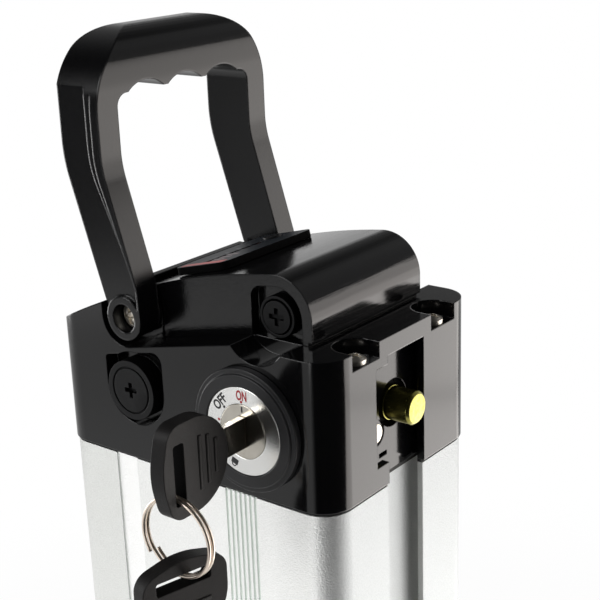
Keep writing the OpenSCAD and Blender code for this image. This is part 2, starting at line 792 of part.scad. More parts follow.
// Side pocket of the hump, which follows its nose at an even rim
module side_pocket_2d(rim) {
  x0 = x_side_screw - side_pocket_l / 2 + rim - side_pocket_rim;
  top = back_c[1] + sqrt(pow(back_r - rim, 2) - pow(x0 - back_c[0], 2)) + side_pocket_rise;
  intersection() {
    hump_2d(rim);
    polygon(rounded_path([
      [x0, 0, 0], [x_front, 0, 0], [x_front, sky, 0], [x0 + side_pocket_corner_r, sky, 0],
      [x0 + side_pocket_corner_r, top, 0], [x0, top, side_pocket_corner_r - eps]
    ]));
  }
}

// Screws and washers
module cross_drive(r, depth) {
  w = r * 0.36;
  for (a = [0, 90]) rotate(a) translate([-r * 0.7, -w / 2, -depth]) cube([r * 1.4, w, depth + 1]);
}
module pan_head(r, h) {
  difference() {
    intersection() {
      cylinder(r = r, h = h);
      translate([0, 0, h - r * 1.5]) sphere(r * 1.5);
    }
    translate([0, 0, h]) cross_drive(r, h * 0.6);
  }
}
module cap_screws() {
  z_tip = z_cap - gasket_t - screw_grip;
  color(nickel) for (p = front_ports) translate([p[0], p[1], 0]) {
    translate([0, 0, z_cap + pocket_floor_h]) pan_head(screw_head_r, screw_head_h);
    translate([0, 0, z_tip]) cylinder(r = screw_r, h = z_cap + pocket_floor_h - z_tip + eps);
  }
}
module base_screws() {
  z_head = base_head_depth;
  color(nickel) for (p = concat(front_ports, back_ports)) translate([p[0], p[1], z_head]) {
    rotate([180, 0, 0]) pan_head(screw_head_r, screw_head_h);
    translate([0, 0, -eps]) cylinder(r = screw_r, h = z_sleeve + screw_grip - z_head);
  }
}
module along_outward(x, z, y) {
  both_sides() translate([x, -y, z]) rotate([90, 0, 0]) children();
}
module pivot_screws() {
  color(nickel) along_outward(x_pivot, z_pivot, 0) {
    translate([0, 0, pivot_seat_y]) pan_head(pivot_head_r, pivot_head_t);
    translate([0, 0, hump_half + 0.4]) cylinder(r = pivot_shank_r, h = pivot_seat_y - hump_half - 0.4 + eps);
    translate([0, 0, hump_half - pivot_thread_l + 1]) cylinder(r = pivot_thread_r, h = pivot_thread_l);
  }
}
module pivot_washers() {
  y0 = hump_half + 0.4 + seat_gap;
  color(matt_black) both_sides() difference() {
    rod_y(x_pivot, z_pivot, washer_r, y0, arm_in - pass_gap / 2);
    rod_y(x_pivot, z_pivot, pivot_shank_r + run_gap, y0 - 1, arm_in + 1);
  }
}
module side_screws() {
  color(matt_black) along_outward(x_side_screw, z_cap + side_screw_h, 0) {
    translate([0, 0, side_seat_y + side_washer_t]) difference() {
      cylinder(r = side_head_r, h = side_head_t);
      translate([0, 0, side_head_t]) cross_drive(side_head_r * 0.75, side_head_t * 0.6);
    }
    translate([0, 0, side_seat_y - side_thread_l])
      cylinder(r = side_thread_r, h = side_thread_l + side_washer_t + eps);
  }
}
module side_washers() {
  color(matt_black) along_outward(x_side_screw, z_cap + side_screw_h, side_seat_y) difference() {
    cylinder(r = side_washer_r, h = side_washer_t + side_head_t - 0.3);
    translate([0, 0, side_washer_t]) cylinder(r = side_head_r + 0.35, h = side_head_t);
    translate([0, 0, -1]) cylinder(r = side_thread_r + run_gap, h = side_head_t + side_washer_t);
  }
}

// Handle: a side outline crossed with a front outline, with finger scallops under the grip
function handle_corners(shift, foot_shift, past) = [
  [boss_r - foot_shift, 0, 0], [boss_r - foot_in - foot_shift, foot_h, foot_bend_r],
  [-grip_set - shift, bend_h, front_bend_r], [-grip_set - shift, reach, grip_front_r],
  [-grip_set - grip_w - past, reach, grip_back_r],
  [-grip_set - grip_w - past, bend_h + back_bend_up, back_bend_r], [-boss_r - past, 0, 0]
];
// Sunk side of the arm, which runs out past its back edge
module arm_panel_2d(shift) {
  past = 1;
  difference() {
    polygon(rounded_path(handle_corners(shift, panel_foot_shift, past)));
    circle(boss_r);
    translate([-case_l, panel_top_h]) square([2 * case_l, sky]);
  }
}
module handle_opening_2d() {
  top = reach - grip_h - scallop_depth;
  polygon(rounded_path([
    [-arm_in, -sky, 0], [arm_in, -sky, 0], [arm_in, top, opening_corner_r], [-arm_in, top, opening_corner_r]
  ]));
  for (i = [-1:1]) translate([i * scallop_pitch, reach - grip_h - scallop_r]) circle(scallop_r);
}
module handle_front_2d() {
  difference() {
    translate([0, (reach - sky) / 2]) rounded_rect(case_w, reach + sky, handle_corner_r);
    handle_opening_2d();
  }
}
module handle() {
  color(gloss_black) translate([x_pivot, 0, z_pivot]) difference() {
    intersection() {
      along_y(y_lock, y_charge) {
        polygon(rounded_path(handle_corners(0, 0, 0)));
        circle(boss_r);
      }
      along_x(-case_l, case_l) handle_front_2d();
    }
    both_sides() for (i = [0:len(panel_shifts) - 1])
      along_y(y_charge - panel_step * (i + 1), y_charge + 1) arm_panel_2d(panel_shifts[i]);
    both_sides() rod_y(0, 0, pivot_sink_r, y_charge - pivot_sink, y_charge + 1);
    both_sides() rod_y(0, 0, pivot_shank_r + run_gap, 0, y_charge);
  }
}

// Fuse holder, its screwdriver cap and the fuse link
module fuse_holder() {
  z = z_cap + recess_h;
  y_end = y_recess + fuse_tube_l;
  color(matt_black) difference() {
    union() {
      rod_y(x_fuse, z, fuse_cap_r, y_recess - fuse_flange_t, y_recess);
      rod_y(x_fuse, z, fuse_tube_r, y_recess - eps, y_end);
      rod_y(x_fuse, z, fuse_tube_r / 2, y_end - eps, y_end + fuse_tail_l);
    }
    rod_y(x_fuse, z, fuse_bore_r, y_recess - fuse_flange_t - 1, y_end - 2);
  }
}
module fuse_cap() {
  z = z_cap + recess_h;
  y_out = y_lock - fuse_cap_proud;
  y_in = y_recess - fuse_flange_t - seat_gap;
  color(matt_black) difference() {
    union() {
      rod_y(x_fuse, z, fuse_cap_r, y_out, y_in);
      rod_y(x_fuse, z, fuse_bore_r - run_gap, y_in - eps, y_in + fuse_stem_l);
    }
    difference() {
      rod_y(x_fuse, z, fuse_disc_r + fuse_disc_step, y_out - 1, y_out + fuse_disc_step);
      rod_y(x_fuse, z, fuse_disc_r, y_out - 2, y_out + 2);
    }
    translate([x_fuse, y_out, z]) rotate([90, 15, 0]) cross_drive(3.4, 1.6);
  }
}
module fuse_link() {
  z = z_cap + recess_h;
  y0 = y_recess + fuse_stem_l;
  color(white_metal) rod_y(x_fuse, z, fuse_bore_r - pass_gap, y0, y0 + fuse_link_l);
}

// Lock: collar, dial, case, push sleeve with spring, barrel, cam and bolt
module lock_collar() {
  color(matt_black) difference() {
    union() {
      rod_y(x_lock, z_lock, collar_r, y_lock - collar_proud + collar_step, y_lock);
      rod_y(x_lock, z_lock, collar_r - collar_step_w, y_lock - collar_proud, y_lock);
      rod_y(x_lock, z_lock, collar_neck_r, y_lock - eps, y_lock + collar_neck_l);
    }
    rod_y(x_lock, z_lock, dial_r + seat_gap, y_lock - collar_proud - 1, y_case_front);
    rod_y(x_lock, z_lock, lock_case_r + seat_gap, y_lock - collar_proud - 1, y_lock + collar_neck_l + 1);
  }
}
module dial_ring() {
  color(white_metal) difference() {
    rod_y(x_lock, z_lock, dial_r, y_dial, y_case_front);
    rod_y(x_lock, z_lock, barrel_r + run_gap, y_dial - 1, y_case_front + 1);
  }
}
module lock_case() {
  flange_r = collar_neck_r + 1.2;
  color(white_metal) difference() {
    union() {
      rod_y(x_lock, z_lock, lock_case_r, y_case_front, y_case_end);
      rod_y(x_lock, z_lock, flange_r, y_lock + collar_neck_l, y_lock + collar_neck_l + 2.5);
    }
    rod_y(x_lock, z_lock, barrel_r + run_gap, y_case_front - 1, y_case_end - lock_end_t);
    rod_y(x_lock, z_lock, lock_sleeve_r + run_gap, y_sleeve_front - seat_gap, y_spring_end);
    rod_y(x_lock, z_lock, lock_tail_r + pass_gap, y_spring_end - 1, y_case_end + 1);
  }
}
module lock_sleeve() {
  color(brass) difference() {
    rod_y(x_lock, z_lock, lock_sleeve_r, y_sleeve_front, y_sleeve_end);
    rod_y(x_lock, z_lock, barrel_r + run_gap, y_sleeve_front - 1, y_sleeve_end - sleeve_end_t);
    rod_y(x_lock, z_lock, lock_tail_r + pass_gap, y_sleeve_front - 1, y_sleeve_end + 1);
  }
}
// Spring between the sleeve and the end of the case, as one helix
module lock_spring() {
  steps = 10 * spring_turns;
  path = [
    for (i = [0:steps])
      let (a = 360 * spring_turns * i / steps)
      let (y = y_sleeve_end + spring_wire_r + seat_gap + spring_l * i / steps)
      [x_lock + spring_r * cos(a), y, z_lock + spring_r * sin(a)]
  ];
  color(nickel) tube(path, spring_wire_r, 6);
}
module lock_barrel() {
  color(white_metal) difference() {
    union() {
      rod_y(x_lock, z_lock, barrel_r, y_barrel, barrel_shoulder);
      rod_y(x_lock, z_lock, lock_tail_r, barrel_shoulder - eps, y_cam - cam_t);
    }
    translate([x_lock - blade_t / 2 - seat_gap, y_barrel - 1, z_lock - blade_w / 2 - seat_gap])
      cube([blade_t + 2 * seat_gap, 1 + blade_in + seat_gap, blade_w + 2 * seat_gap]);
  }
}
module lock_cam() {
  color(nickel) {
    rod_y(x_lock, z_lock, cam_r, y_cam - cam_t, y_cam);
    rod_y(x_lock + cam_throw, z_lock, cam_pin_r, y_cam - eps, yoke_t / 2 + cam_pin_past);
  }
}
module lock_bolt() {
  slot_w = 2 * (cam_pin_r + yoke_slack);
  slot_h = 2 * (cam_throw + cam_pin_r + pass_gap);
  x_plate = yoke_x - yoke_l / 2;
  shank_r = bolt_r + bolt_shank_more;
  color(brass) difference() {
    union() {
      rod_x(0, z_lock, shank_r, yoke_x + yoke_l / 2 - yoke_front, x_floor);
      rod_x(0, z_lock, bolt_r, x_floor - eps, bolt_x1 - bolt_chamfer);
      translate([bolt_x1 - bolt_chamfer, 0, z_lock]) rotate([0, 90, 0])
        cylinder(r1 = bolt_r, r2 = bolt_r - bolt_chamfer, h = bolt_chamfer);
      translate([x_plate, -yoke_t / 2, z_lock - yoke_h / 2]) cube([yoke_l, yoke_t, yoke_h]);
    }
    translate([yoke_x - slot_w / 2, -yoke_t, z_lock - slot_h / 2]) cube([slot_w, 2 * yoke_t, slot_h]);
    // Flat on the shank, level with the yoke, that the pushed-in cam passes
    translate([x_plate, -yoke_t / 2 - shank_r, z_lock - shank_r - 1])
      cube([bolt_flat_x - x_plate, shank_r, 2 * shank_r + 2]);
  }
}
module bolt_bush() {
  color(matt_black) difference() {
    union() {
      rod_x(0, z_lock, bush_r, x_block - eps, x_floor - bolt_sink);
      rod_x(0, z_lock, bush_r + bush_lip, x_block - bush_lip_t, x_block);
    }
    rod_x(0, z_lock, bolt_r + bolt_shank_more + run_gap, x_block - bush_lip_t - 1, x_floor);
  }
}
module channel_rivet() {
  color(white_metal) {
    rod_x(rivet_y, z_cap + rivet_h, rivet_r, x_floor - 0.5, x_floor + 0.3);
    rod_x(rivet_y, z_cap + rivet_h, rivet_r / 2, x_floor - 4 + seat_gap, x_floor);
  }
}

// Keys: blade and moulded bow in the key's own u and v, then set in the lock or hung on the ring
module bow_2d() {
  r = bow_h / 2;
  end = bow_u0 + bow_l + bow_end_flat;
  translate([0, bow_drop]) polygon(rounded_path([
    [bow_u0, -r, r - eps], [end - bow_end_set, -r, bow_corner_r], [end, 0, bow_end_r],
    [end - bow_end_set, r, bow_corner_r], [bow_u0, r, r - eps]
  ]));
}
module key_bow_shape() {
  difference() {
    translate([0, 0, -bow_t / 2]) linear_extrude(bow_t) bow_2d();
    translate([slot_u, ring_slot_drop, -bow_t]) linear_extrude(2 * bow_t)
      rounded_rect(ring_slot_w, ring_slot_l, ring_slot_r);
    translate([0, -blade_w / 2 - run_gap, -blade_t / 2 - run_gap])
      cube([bow_u0 + blade_in_bow + run_gap, blade_w + 2 * run_gap, blade_t + 2 * run_gap]);
  }
}
module key_blade_shape() {
  tip = 3;
  cut_w = 0.8;
  translate([0, 0, -blade_t / 2]) linear_extrude(blade_t) difference() {
    polygon([
      [bow_u0 + blade_in_bow, -blade_w / 2], [bow_u0 + blade_in_bow, blade_w / 2],
      [tip - blade_in, blade_w / 2], [-blade_in, blade_w / 2 - tip],
      [-blade_in, tip - blade_w / 2], [tip - blade_in, -blade_w / 2]
    ]);
    for (i = [1:4]) translate([-i * blade_in / 6, blade_w / 2]) circle(cut_w + 0.3 * (i % 2), $fn = 24);
  }
}
module key_blade() { color(nickel) key_place() key_blade_shape(); }
module key_bow() { color(matt_black) key_place() key_bow_shape(); }
module spare_blade() { color(nickel) spare_place() key_blade_shape(); }
module spare_bow() { color(matt_black) spare_place() key_bow_shape(); }
// u to -Y, v to Z, thickness to X
module key_place() {
  multmatrix([[0, 0, 1, x_lock], [-1, 0, 0, y_barrel], [0, -1, 0, z_lock], [0, 0, 0, 1]]) children();
}
// u to +Z, v to Y, thickness to X, then turned about the upright
module spare_place() {
  translate([x_lock, y_ring + ring_pitch / 2, z_spare]) rotate([0, 0, -spare_turn])
    multmatrix([[0, 0, 1, 0], [0, 1, 0, 0], [1, 0, 0, 0], [0, 0, 0, 1]]) mirror([0, 1, 0]) children();
}
// Split ring: one unbroken wire of two turns, which ends low at the side away from the rail
ring_path = [
  for (i = [0:2 * ring_steps])
    let (a = ring_start + 360 * i / ring_steps, turn = (a - ring_top) / 360)
    [x_lock + ring_r * cos(a), y_ring - ring_pitch * (turn - 0.5), z_ring + ring_r * sin(a)]
];
ring_gap = min([
  for (i = [0:ring_steps], j = [i + ring_steps / 2:min(i + ring_steps + 2, 2 * ring_steps)])
    norm(ring_path[i] - ring_path[j])
]) - 2 * ring_wire_r;
echo(split_ring_least_gap = ring_gap);
module split_ring() { color(nickel) tube(ring_path, ring_wire_r, 6); }

// Gauge: panel, lamps, button and board, in the frame of the slope
module on_slope() { translate([x_panel, 0, panel_top]) rotate([0, -panel_tilt, 0]) children(); }
module panel_seat() {
  translate([0, 0, -panel_t]) linear_extrude(sky)
    rounded_rect(panel_l + 2 * seat_gap, panel_w + 2 * seat_gap, panel_corner_r);
  translate([-window_l / 2, -window_w / 2, -window_drop]) cube([window_l, window_w, window_drop]);
}
module lamp_places() {
  for (i = [0:lamp_count - 1]) translate([0, lamp_y0 + i * lamp_pitch, 0]) children();
}
module gauge_panel() {
  rib_y = window_w / 2 - panel_rib_t - seat_gap;
  color([0.05, 0.06, 0.09]) translate([0, 0, z_cap]) on_slope() difference() {
    union() {
      translate([0, 0, -panel_t]) linear_extrude(panel_t) rounded_rect(panel_l, panel_w, panel_corner_r);
      both_sides() translate([-window_l / 2 + seat_gap, rib_y, -board_drop])
        cube([window_l - 2 * seat_gap, panel_rib_t, board_drop - panel_t + eps]);
    }
    lamp_places() translate([-lamp_l / 2 - seat_gap, -lamp_w / 2 - seat_gap, -board_drop])
      cube([lamp_l + 2 * seat_gap, lamp_w + 2 * seat_gap, board_drop + 1]);
    translate([0, button_y, -board_drop]) cylinder(r = button_r + seat_gap, h = board_drop + 1);
  }
}
module gauge_lamps() {
  color([0.8, 0.15, 0.12]) translate([0, 0, z_cap]) on_slope() lamp_places()
    translate([-lamp_l / 2, -lamp_w / 2, -board_drop]) cube([lamp_l, lamp_w, board_drop - 0.2]);
}
module gauge_button() {
  color(matt_black) translate([0, 0, z_cap]) on_slope() translate([0, button_y, 0]) {
    translate([0, 0, -panel_t]) cylinder(r = button_r, h = panel_t + button_proud);
    translate([0, 0, -board_drop + button_travel + seat_gap])
      cylinder(r = button_stem_r, h = board_drop - panel_t - button_travel);
  }
}
module gauge_board() {
  color(board_green) translate([0, 0, z_cap]) on_slope() translate([0, 0, -board_drop - board_t])
    linear_extrude(board_t) rounded_rect(window_l - 1, window_w - 1, 1);
}

// Charging socket with its hinged dust cap
module charge_socket() {
  y_in = y_flange - charge_tube_l;
  z_hinge = z_charge + lid_hinge_h;
  color(matt_black) difference() {
    union() {
      rod_y(x_charge, z_charge, charge_flange_r, y_flange - charge_flange_t, y_flange);
      rod_y(x_charge, z_charge, charge_tube_r, y_in, y_flange);
      for (s = [-1, 1]) lid_ear(s);
    }
    rod_y(x_charge, z_charge, charge_bore_r, y_in + 3, y_flange + 1);
    rod_x(y_hinge, z_hinge, lid_pin_r + run_gap, x_charge - 10, x_charge + 10);
  }
}
module lid_ear(s) {
  z_hinge = z_charge + lid_hinge_h;
  x0 = x_charge + (s > 0 ? lid_knuckle_l / 2 + pass_gap : -lid_knuckle_l / 2 - pass_gap - lid_ear_t);
  rod_x(y_hinge, z_hinge, lid_knuckle_r, x0, x0 + lid_ear_t);
  translate([x0, y_flange - eps, z_hinge - lid_knuckle_r])
    cube([lid_ear_t, y_hinge - y_flange, 2 * lid_knuckle_r]);
}
module dust_cap() {
  z_hinge = z_charge + lid_hinge_h;
  color(matt_black) difference() {
    union() {
      rod_y(x_charge, z_charge, lid_r, y_lid, y_lid + lid_t);
      translate([x_charge - lid_knuckle_l / 2, y_lid, z_charge]) cube([lid_knuckle_l, lid_t, lid_hinge_h]);
      rod_x(y_hinge, z_hinge, lid_knuckle_r, x_charge - lid_knuckle_l / 2, x_charge + lid_knuckle_l / 2);
    }
    rod_x(y_hinge, z_hinge, lid_pin_r + run_gap, x_charge - 10, x_charge + 10);
  }
}
module dust_cap_pin() {
  half = lid_knuckle_l / 2 + pass_gap + lid_ear_t;
  color(nickel) rod_x(y_hinge, z_charge + lid_hinge_h, lid_pin_r, x_charge - half, x_charge + half);
}
module charge_pins() {
  y0 = y_flange - charge_tube_l + 3;
  r = charge_pin_pcd / 2;
  color(nickel) for (a = [90, 210, 330])
    rod_y(x_charge + r * cos(a), z_charge + r * sin(a), charge_pin_r, y0, y0 + charge_pin_l);
}

// Bottom cap with the discharge contacts
module base_cap() {
  color(gloss_black) difference() {
    union() {
      difference() {
        linear_extrude(base_h) rounded_rect(case_l, case_w, corner_r);
        translate([0, 0, floor_t]) linear_extrude(base_h) base_cavity_2d();
      }
      both_sides() translate([x_pack - rib_l / 2, rib_y, floor_t - eps]) cube([rib_l, rib_t, rib_h + eps]);
      sleeve_tabs(base_h - 8, gasket_t + 14);
    }
    translate([0, 0, -1]) linear_extrude(base_h + 2) channel_2d();
    for (p = concat(front_ports, back_ports)) translate([p[0], p[1], -1]) {
      cylinder(r = screw_head_r + pass_gap, h = base_head_depth + 1);
      cylinder(r = port_hole_r + seat_gap, h = base_h + 2);
    }
    translate([block_x, 0, -1]) linear_extrude(floor_t + 2)
      square([block_l + 2 * seat_gap, block_w + 2 * seat_gap], center = true);
  }
}
module base_cavity_2d() {
  column_r = port_r + 1.5;
  difference() {
    rounded_rect(case_l - 2 * cap_wall, case_w - 2 * cap_wall, corner_r - cap_wall);
    translate([x_floor - cap_wall, -rail_under / 2 - cap_wall])
      square([rail_depth + cap_wall, rail_under + 2 * cap_wall]);
    port_holes_2d(column_r);
  }
}
module contact_block() {
  rim = 2;
  color(matt_black) translate([block_x, 0, 0]) difference() {
    union() {
      translate([-block_l / 2, -block_w / 2, 0]) cube([block_l, block_w, block_h]);
      translate([-block_l / 2 - rim, -block_w / 2 - rim, floor_t])
        cube([block_l + 2 * rim, block_w + 2 * rim, 2]);
    }
    for (s = [-1, 1]) translate([s * contact_pitch / 2 - blade_slot_l / 2, -blade_slot_w / 2, -1])
      cube([blade_slot_l, blade_slot_w, block_h - 1]);
    for (s = [-1, 1])
      translate([s * contact_pitch / 2 - contact_w / 2 - seat_gap, -contact_t / 2 - seat_gap, -1])
        cube([contact_w + 2 * seat_gap, contact_t + 2 * seat_gap, block_h + 2]);
  }
}
module contact_blades() {
  color(copper) for (s = [-1, 1])
    translate([block_x + s * contact_pitch / 2 - contact_w / 2, -contact_t / 2, contact_recess])
      cube([contact_w, contact_t, block_h + contact_up - contact_recess]);
}

// Cell pack: cells, two holders, weld strips, insulation and foam
module cell_places() {
  x0 = x_pack - (cell_cols - 1) * cell_pitch / 2;
  for (c = [0:cell_cols - 1], r = [0:cell_rows - 1])
    translate([x0 + c * cell_pitch, 0, z_cell + r * cell_pitch]) rotate([90, 0, 0]) children();
}
module cells() {
  color(cell_blue) cell_places() cylinder(d = cell_d, h = cell_len, center = true);
}
module cell_holder() {
  y_out = cell_len / 2 + holder_lip;
  difference() {
    translate([x_pack - pack_l / 2, -y_out, z_pack]) cube([pack_l, holder_lip + holder_grip, pack_h]);
    cell_places() cylinder(d = cell_d + 2 * seat_gap, h = cell_len + 2 * run_gap, center = true);
    cell_places() cylinder(r = holder_eye_r, h = 2 * cell_len, center = true);
  }
}
module cell_holder_near() { color(matt_black) cell_holder(); }
module cell_holder_far() { color(matt_black) mirror([0, 1, 0]) cell_holder(); }
// Weld strips join two rows each, one row out of step on the two sides
module strip_rows(first) {
  edge = 2;
  y0 = cell_len / 2 + holder_lip;
  for (r = [first:2:cell_rows - 1])
    let (a = max(r, 0), b = min(r + 2, cell_rows))
    translate([x_pack - pack_l / 2 + edge, y0, z_cell + (a - 0.5) * cell_pitch + edge])
      cube([pack_l - 2 * edge, strip_t, (b - a) * cell_pitch - 2 * edge]);
}
module strips_near() { color(nickel) mirror([0, 1, 0]) strip_rows(0); }
module strips_far() { color(nickel) strip_rows(-1); }
module paper_sheet() {
  translate([x_pack - pack_l / 2, cell_len / 2 + holder_lip + strip_t, z_pack]) cube([pack_l, paper_t, pack_h]);
}
module paper_near() { color(paper_tan) mirror([0, 1, 0]) paper_sheet(); }
module paper_far() { color(paper_tan) paper_sheet(); }
module foam_pad(z, t) {
  w = cell_len + 2 * holder_lip;
  translate([x_pack - pack_l / 2, -w / 2, z]) cube([pack_l, w, t]);
}
module foam_bottom() { color(foam_grey) foam_pad(z_foam, foam_t); }
module foam_top() { color(foam_grey) foam_pad(z_pack_top, foam_top_t); }

// Protection board with its transistors under a finned heat sink
module bms_board() {
  color(board_green) translate([x_pack, 0, z_board]) linear_extrude(board_t) rounded_rect(bms_l, bms_w, 2);
}
module bms_transistors() {
  color(matt_black) for (i = [0:fet_count - 1])
    translate([x_pack + (i - (fet_count - 1) / 2) * fet_pitch - fet_l / 2, -fet_w / 2, z_board + board_t])
      cube([fet_l, fet_w, fet_h]);
}
module heat_sink() {
  l = fet_count * fet_pitch;
  w = fet_w + 4;
  fin_t = 1.6;
  color(silver) translate([x_pack - l / 2, -w / 2, z_board + board_t + fet_h]) {
    cube([l, w, sink_t]);
    for (i = [0:4]) translate([0, i * (w - fin_t) / 4, sink_t - eps]) cube([l, fin_t, sink_fin_h + eps]);
  }
}
module lead_fuse() { color([0.7, 0.1, 0.1]) tube(lead_fuse_route, lead_r, lead_sides); }
module lead_discharge() { color(matt_black) tube(lead_discharge_route, lead_r, lead_sides); }
module lead_gauge() { color(paper_tan) tube(lead_gauge_route, thin_lead_r, lead_sides); }
module lead_charge() { color([0.7, 0.1, 0.1]) tube(lead_charge_route, thin_lead_r, lead_sides); }

sleeve();
top_cap();
hump_cover();
top_gasket();
base_cap();
base_gasket();
base_screws();
cap_screws();
pivot_screws();
pivot_washers();
side_screws();
side_washers();
handle();
fuse_holder();
fuse_cap();
fuse_link();
lock_collar();
dial_ring();
lock_case();
lock_sleeve();
lock_spring();
lock_barrel();
lock_cam();
lock_bolt();
bolt_bush();
channel_rivet();
key_blade();
key_bow();
split_ring();
spare_blade();
spare_bow();
gauge_panel();
gauge_button();
gauge_board();
gauge_lamps();
charge_socket();
charge_pins();
dust_cap();
dust_cap_pin();
contact_block();
contact_blades();
cells();
cell_holder_near();
cell_holder_far();
strips_near();
strips_far();
paper_near();
paper_far();
foam_bottom();
foam_top();
bms_board();
bms_transistors();
heat_sink();
lead_fuse();
lead_discharge();
lead_gauge();
lead_charge();
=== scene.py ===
# %% [markdown]
# An upright battery pack for an electric bicycle, dressed for a portrait. The solids come from the CAD model and
# stay where they are, so this lesson is about edges, finishes, lettering and light. The first cell loads the
# imported model.

# %% Load the imported model
import json
import math
import bmesh
import bpy
from mathutils import Matrix, Vector


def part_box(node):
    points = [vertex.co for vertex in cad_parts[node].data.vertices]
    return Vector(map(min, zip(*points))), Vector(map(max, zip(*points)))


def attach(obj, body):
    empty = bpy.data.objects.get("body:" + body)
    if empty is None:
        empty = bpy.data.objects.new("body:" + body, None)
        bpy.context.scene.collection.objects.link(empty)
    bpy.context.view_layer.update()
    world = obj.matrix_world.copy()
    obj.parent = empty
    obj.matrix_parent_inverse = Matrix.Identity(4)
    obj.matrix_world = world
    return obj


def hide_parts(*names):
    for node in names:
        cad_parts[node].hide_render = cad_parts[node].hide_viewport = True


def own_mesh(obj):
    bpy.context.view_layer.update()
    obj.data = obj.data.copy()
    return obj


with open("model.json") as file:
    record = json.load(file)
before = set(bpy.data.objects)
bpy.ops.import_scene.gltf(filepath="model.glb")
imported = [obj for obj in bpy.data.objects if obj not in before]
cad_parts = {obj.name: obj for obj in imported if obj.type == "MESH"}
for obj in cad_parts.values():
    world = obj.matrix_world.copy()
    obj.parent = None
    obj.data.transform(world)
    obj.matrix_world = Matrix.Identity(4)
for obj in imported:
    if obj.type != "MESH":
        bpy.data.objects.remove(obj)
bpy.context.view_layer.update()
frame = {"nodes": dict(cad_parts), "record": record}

MM = 0.001
nodes = frame["nodes"]
joints = {j["name"]: j for j in frame["record"]["behaviour"]["joints"]}
body_of_node = {n: b for b, names in frame["record"]["behaviour"]["bodies"].items() for n in names}
slot_of_node = {s["node"]: s["material_slot"] for s in frame["record"]["subparts"]}

# %% [markdown]
# Two small jobs come back all through the lesson: putting a new object into the scene, and turning a bmesh, which is
# Blender's mesh for editing in code, into a mesh that an object can hold. Each gets a helper, so that the later cells
# show only what is special about their piece.

# %% Helpers: a new object and a finished mesh
def place_object(name, data):
    made = bpy.data.objects.new(name, data)
    bpy.context.scene.collection.objects.link(made)
    return made

def finished_mesh(name, work, material):
    mesh = bpy.data.meshes.new(name)
    work.to_mesh(mesh)
    work.free()
    mesh.materials.append(material)
    return mesh

print("helpers for objects and meshes ready")

# %% [markdown]
# The camera decides what has to look right, so it comes first. Its place and lens were worked out from straight
# edges whose lengths are known: the cap's corners, the lock's circles and the bolt. A camera looks along its own
# minus Z, so the matrix below is built from the way back to the camera, the picture's right and its up, with the
# small lean that the photograph has.

# %% Camera
view_azimuth, view_elevation, view_lean = (math.radians(a) for a in (38.33, 18.27, 2.085))
camera_place = Vector((252.96, -299.81, 484.22)) * MM
back = Vector((math.sin(view_azimuth) * math.cos(view_elevation),
               -math.cos(view_azimuth) * math.cos(view_elevation), math.sin(view_elevation)))
level_right = Vector((0, 0, 1)).cross(back).normalized()
level_up = back.cross(level_right)
right = level_right * math.cos(view_lean) - level_up * math.sin(view_lean)
up = back.cross(right)
lens = bpy.data.cameras.new("portrait_lens")
lens.sensor_width = 36
lens.lens = 77.96
lens.clip_start = 0.02
camera = place_object("portrait_camera", lens)
camera.matrix_world = Matrix((
    (right.x, up.x, back.x, camera_place.x), (right.y, up.y, back.y, camera_place.y),
    (right.z, up.z, back.z, camera_place.z), (0, 0, 0, 1)))
bpy.context.scene.camera = camera
bpy.context.scene.view_settings.view_transform = "Standard"
print("camera at", [round(v, 3) for v in camera_place])

# %% [markdown]
# A material is a diagram of nodes, and most of its lines are sums. These helpers write a sum the way it is said: each
# value may be a plain number or the output of another node. The last two give a place in the object's own metres, so
# that a finish can follow the shape, and lay a second colour over the first one where a mask says so.

# %% Helpers: nodes and their sums
def new_node(tree, kind, **settings):
    made = tree.nodes.new(kind)
    for key, value in settings.items():
        setattr(made, key, value)
    return made

def feed(tree, target, value):
    if isinstance(value, (int, float)):
        target.default_value = value
    else:
        tree.links.new(value, target)

def combine(tree, operation, *values, clamp=False):
    made = new_node(tree, "ShaderNodeMath", operation=operation, use_clamp=clamp)
    for place, value in enumerate(values):
        feed(tree, made.inputs[place], value)
    return made.outputs["Value"]

def own_axes(tree):
    spot = new_node(tree, "ShaderNodeTexCoord")
    axes = new_node(tree, "ShaderNodeSeparateXYZ")
    tree.links.new(spot.outputs["Object"], axes.inputs["Vector"])
    return axes.outputs

def overlaid(tree, colour, mask, second, blend="MIX"):
    made = new_node(tree, "ShaderNodeMix", data_type="RGBA", blend_type=blend)
    made.inputs["B"].default_value = (*second, 1)
    tree.links.new(mask, made.inputs["Factor"])
    tree.links.new(colour, made.inputs["A"])
    return made.outputs["Result"]

print("helpers for nodes ready")

# %% [markdown]
# Every finish needs a little unevenness. One node group makes it for all of them: a slow mottle for colour and a
# fine grain for roughness and bump, both measured in the object's own metres so that the grain keeps its real
# size. The group puts out plain values, and each material decides what to do with them.

# %% Node group: mottle and grain
def socket(group, name, way, kind="NodeSocketFloat", value=None):
    made = group.interface.new_socket(name=name, in_out=way, socket_type=kind)
    if value is not None:
        made.default_value = value

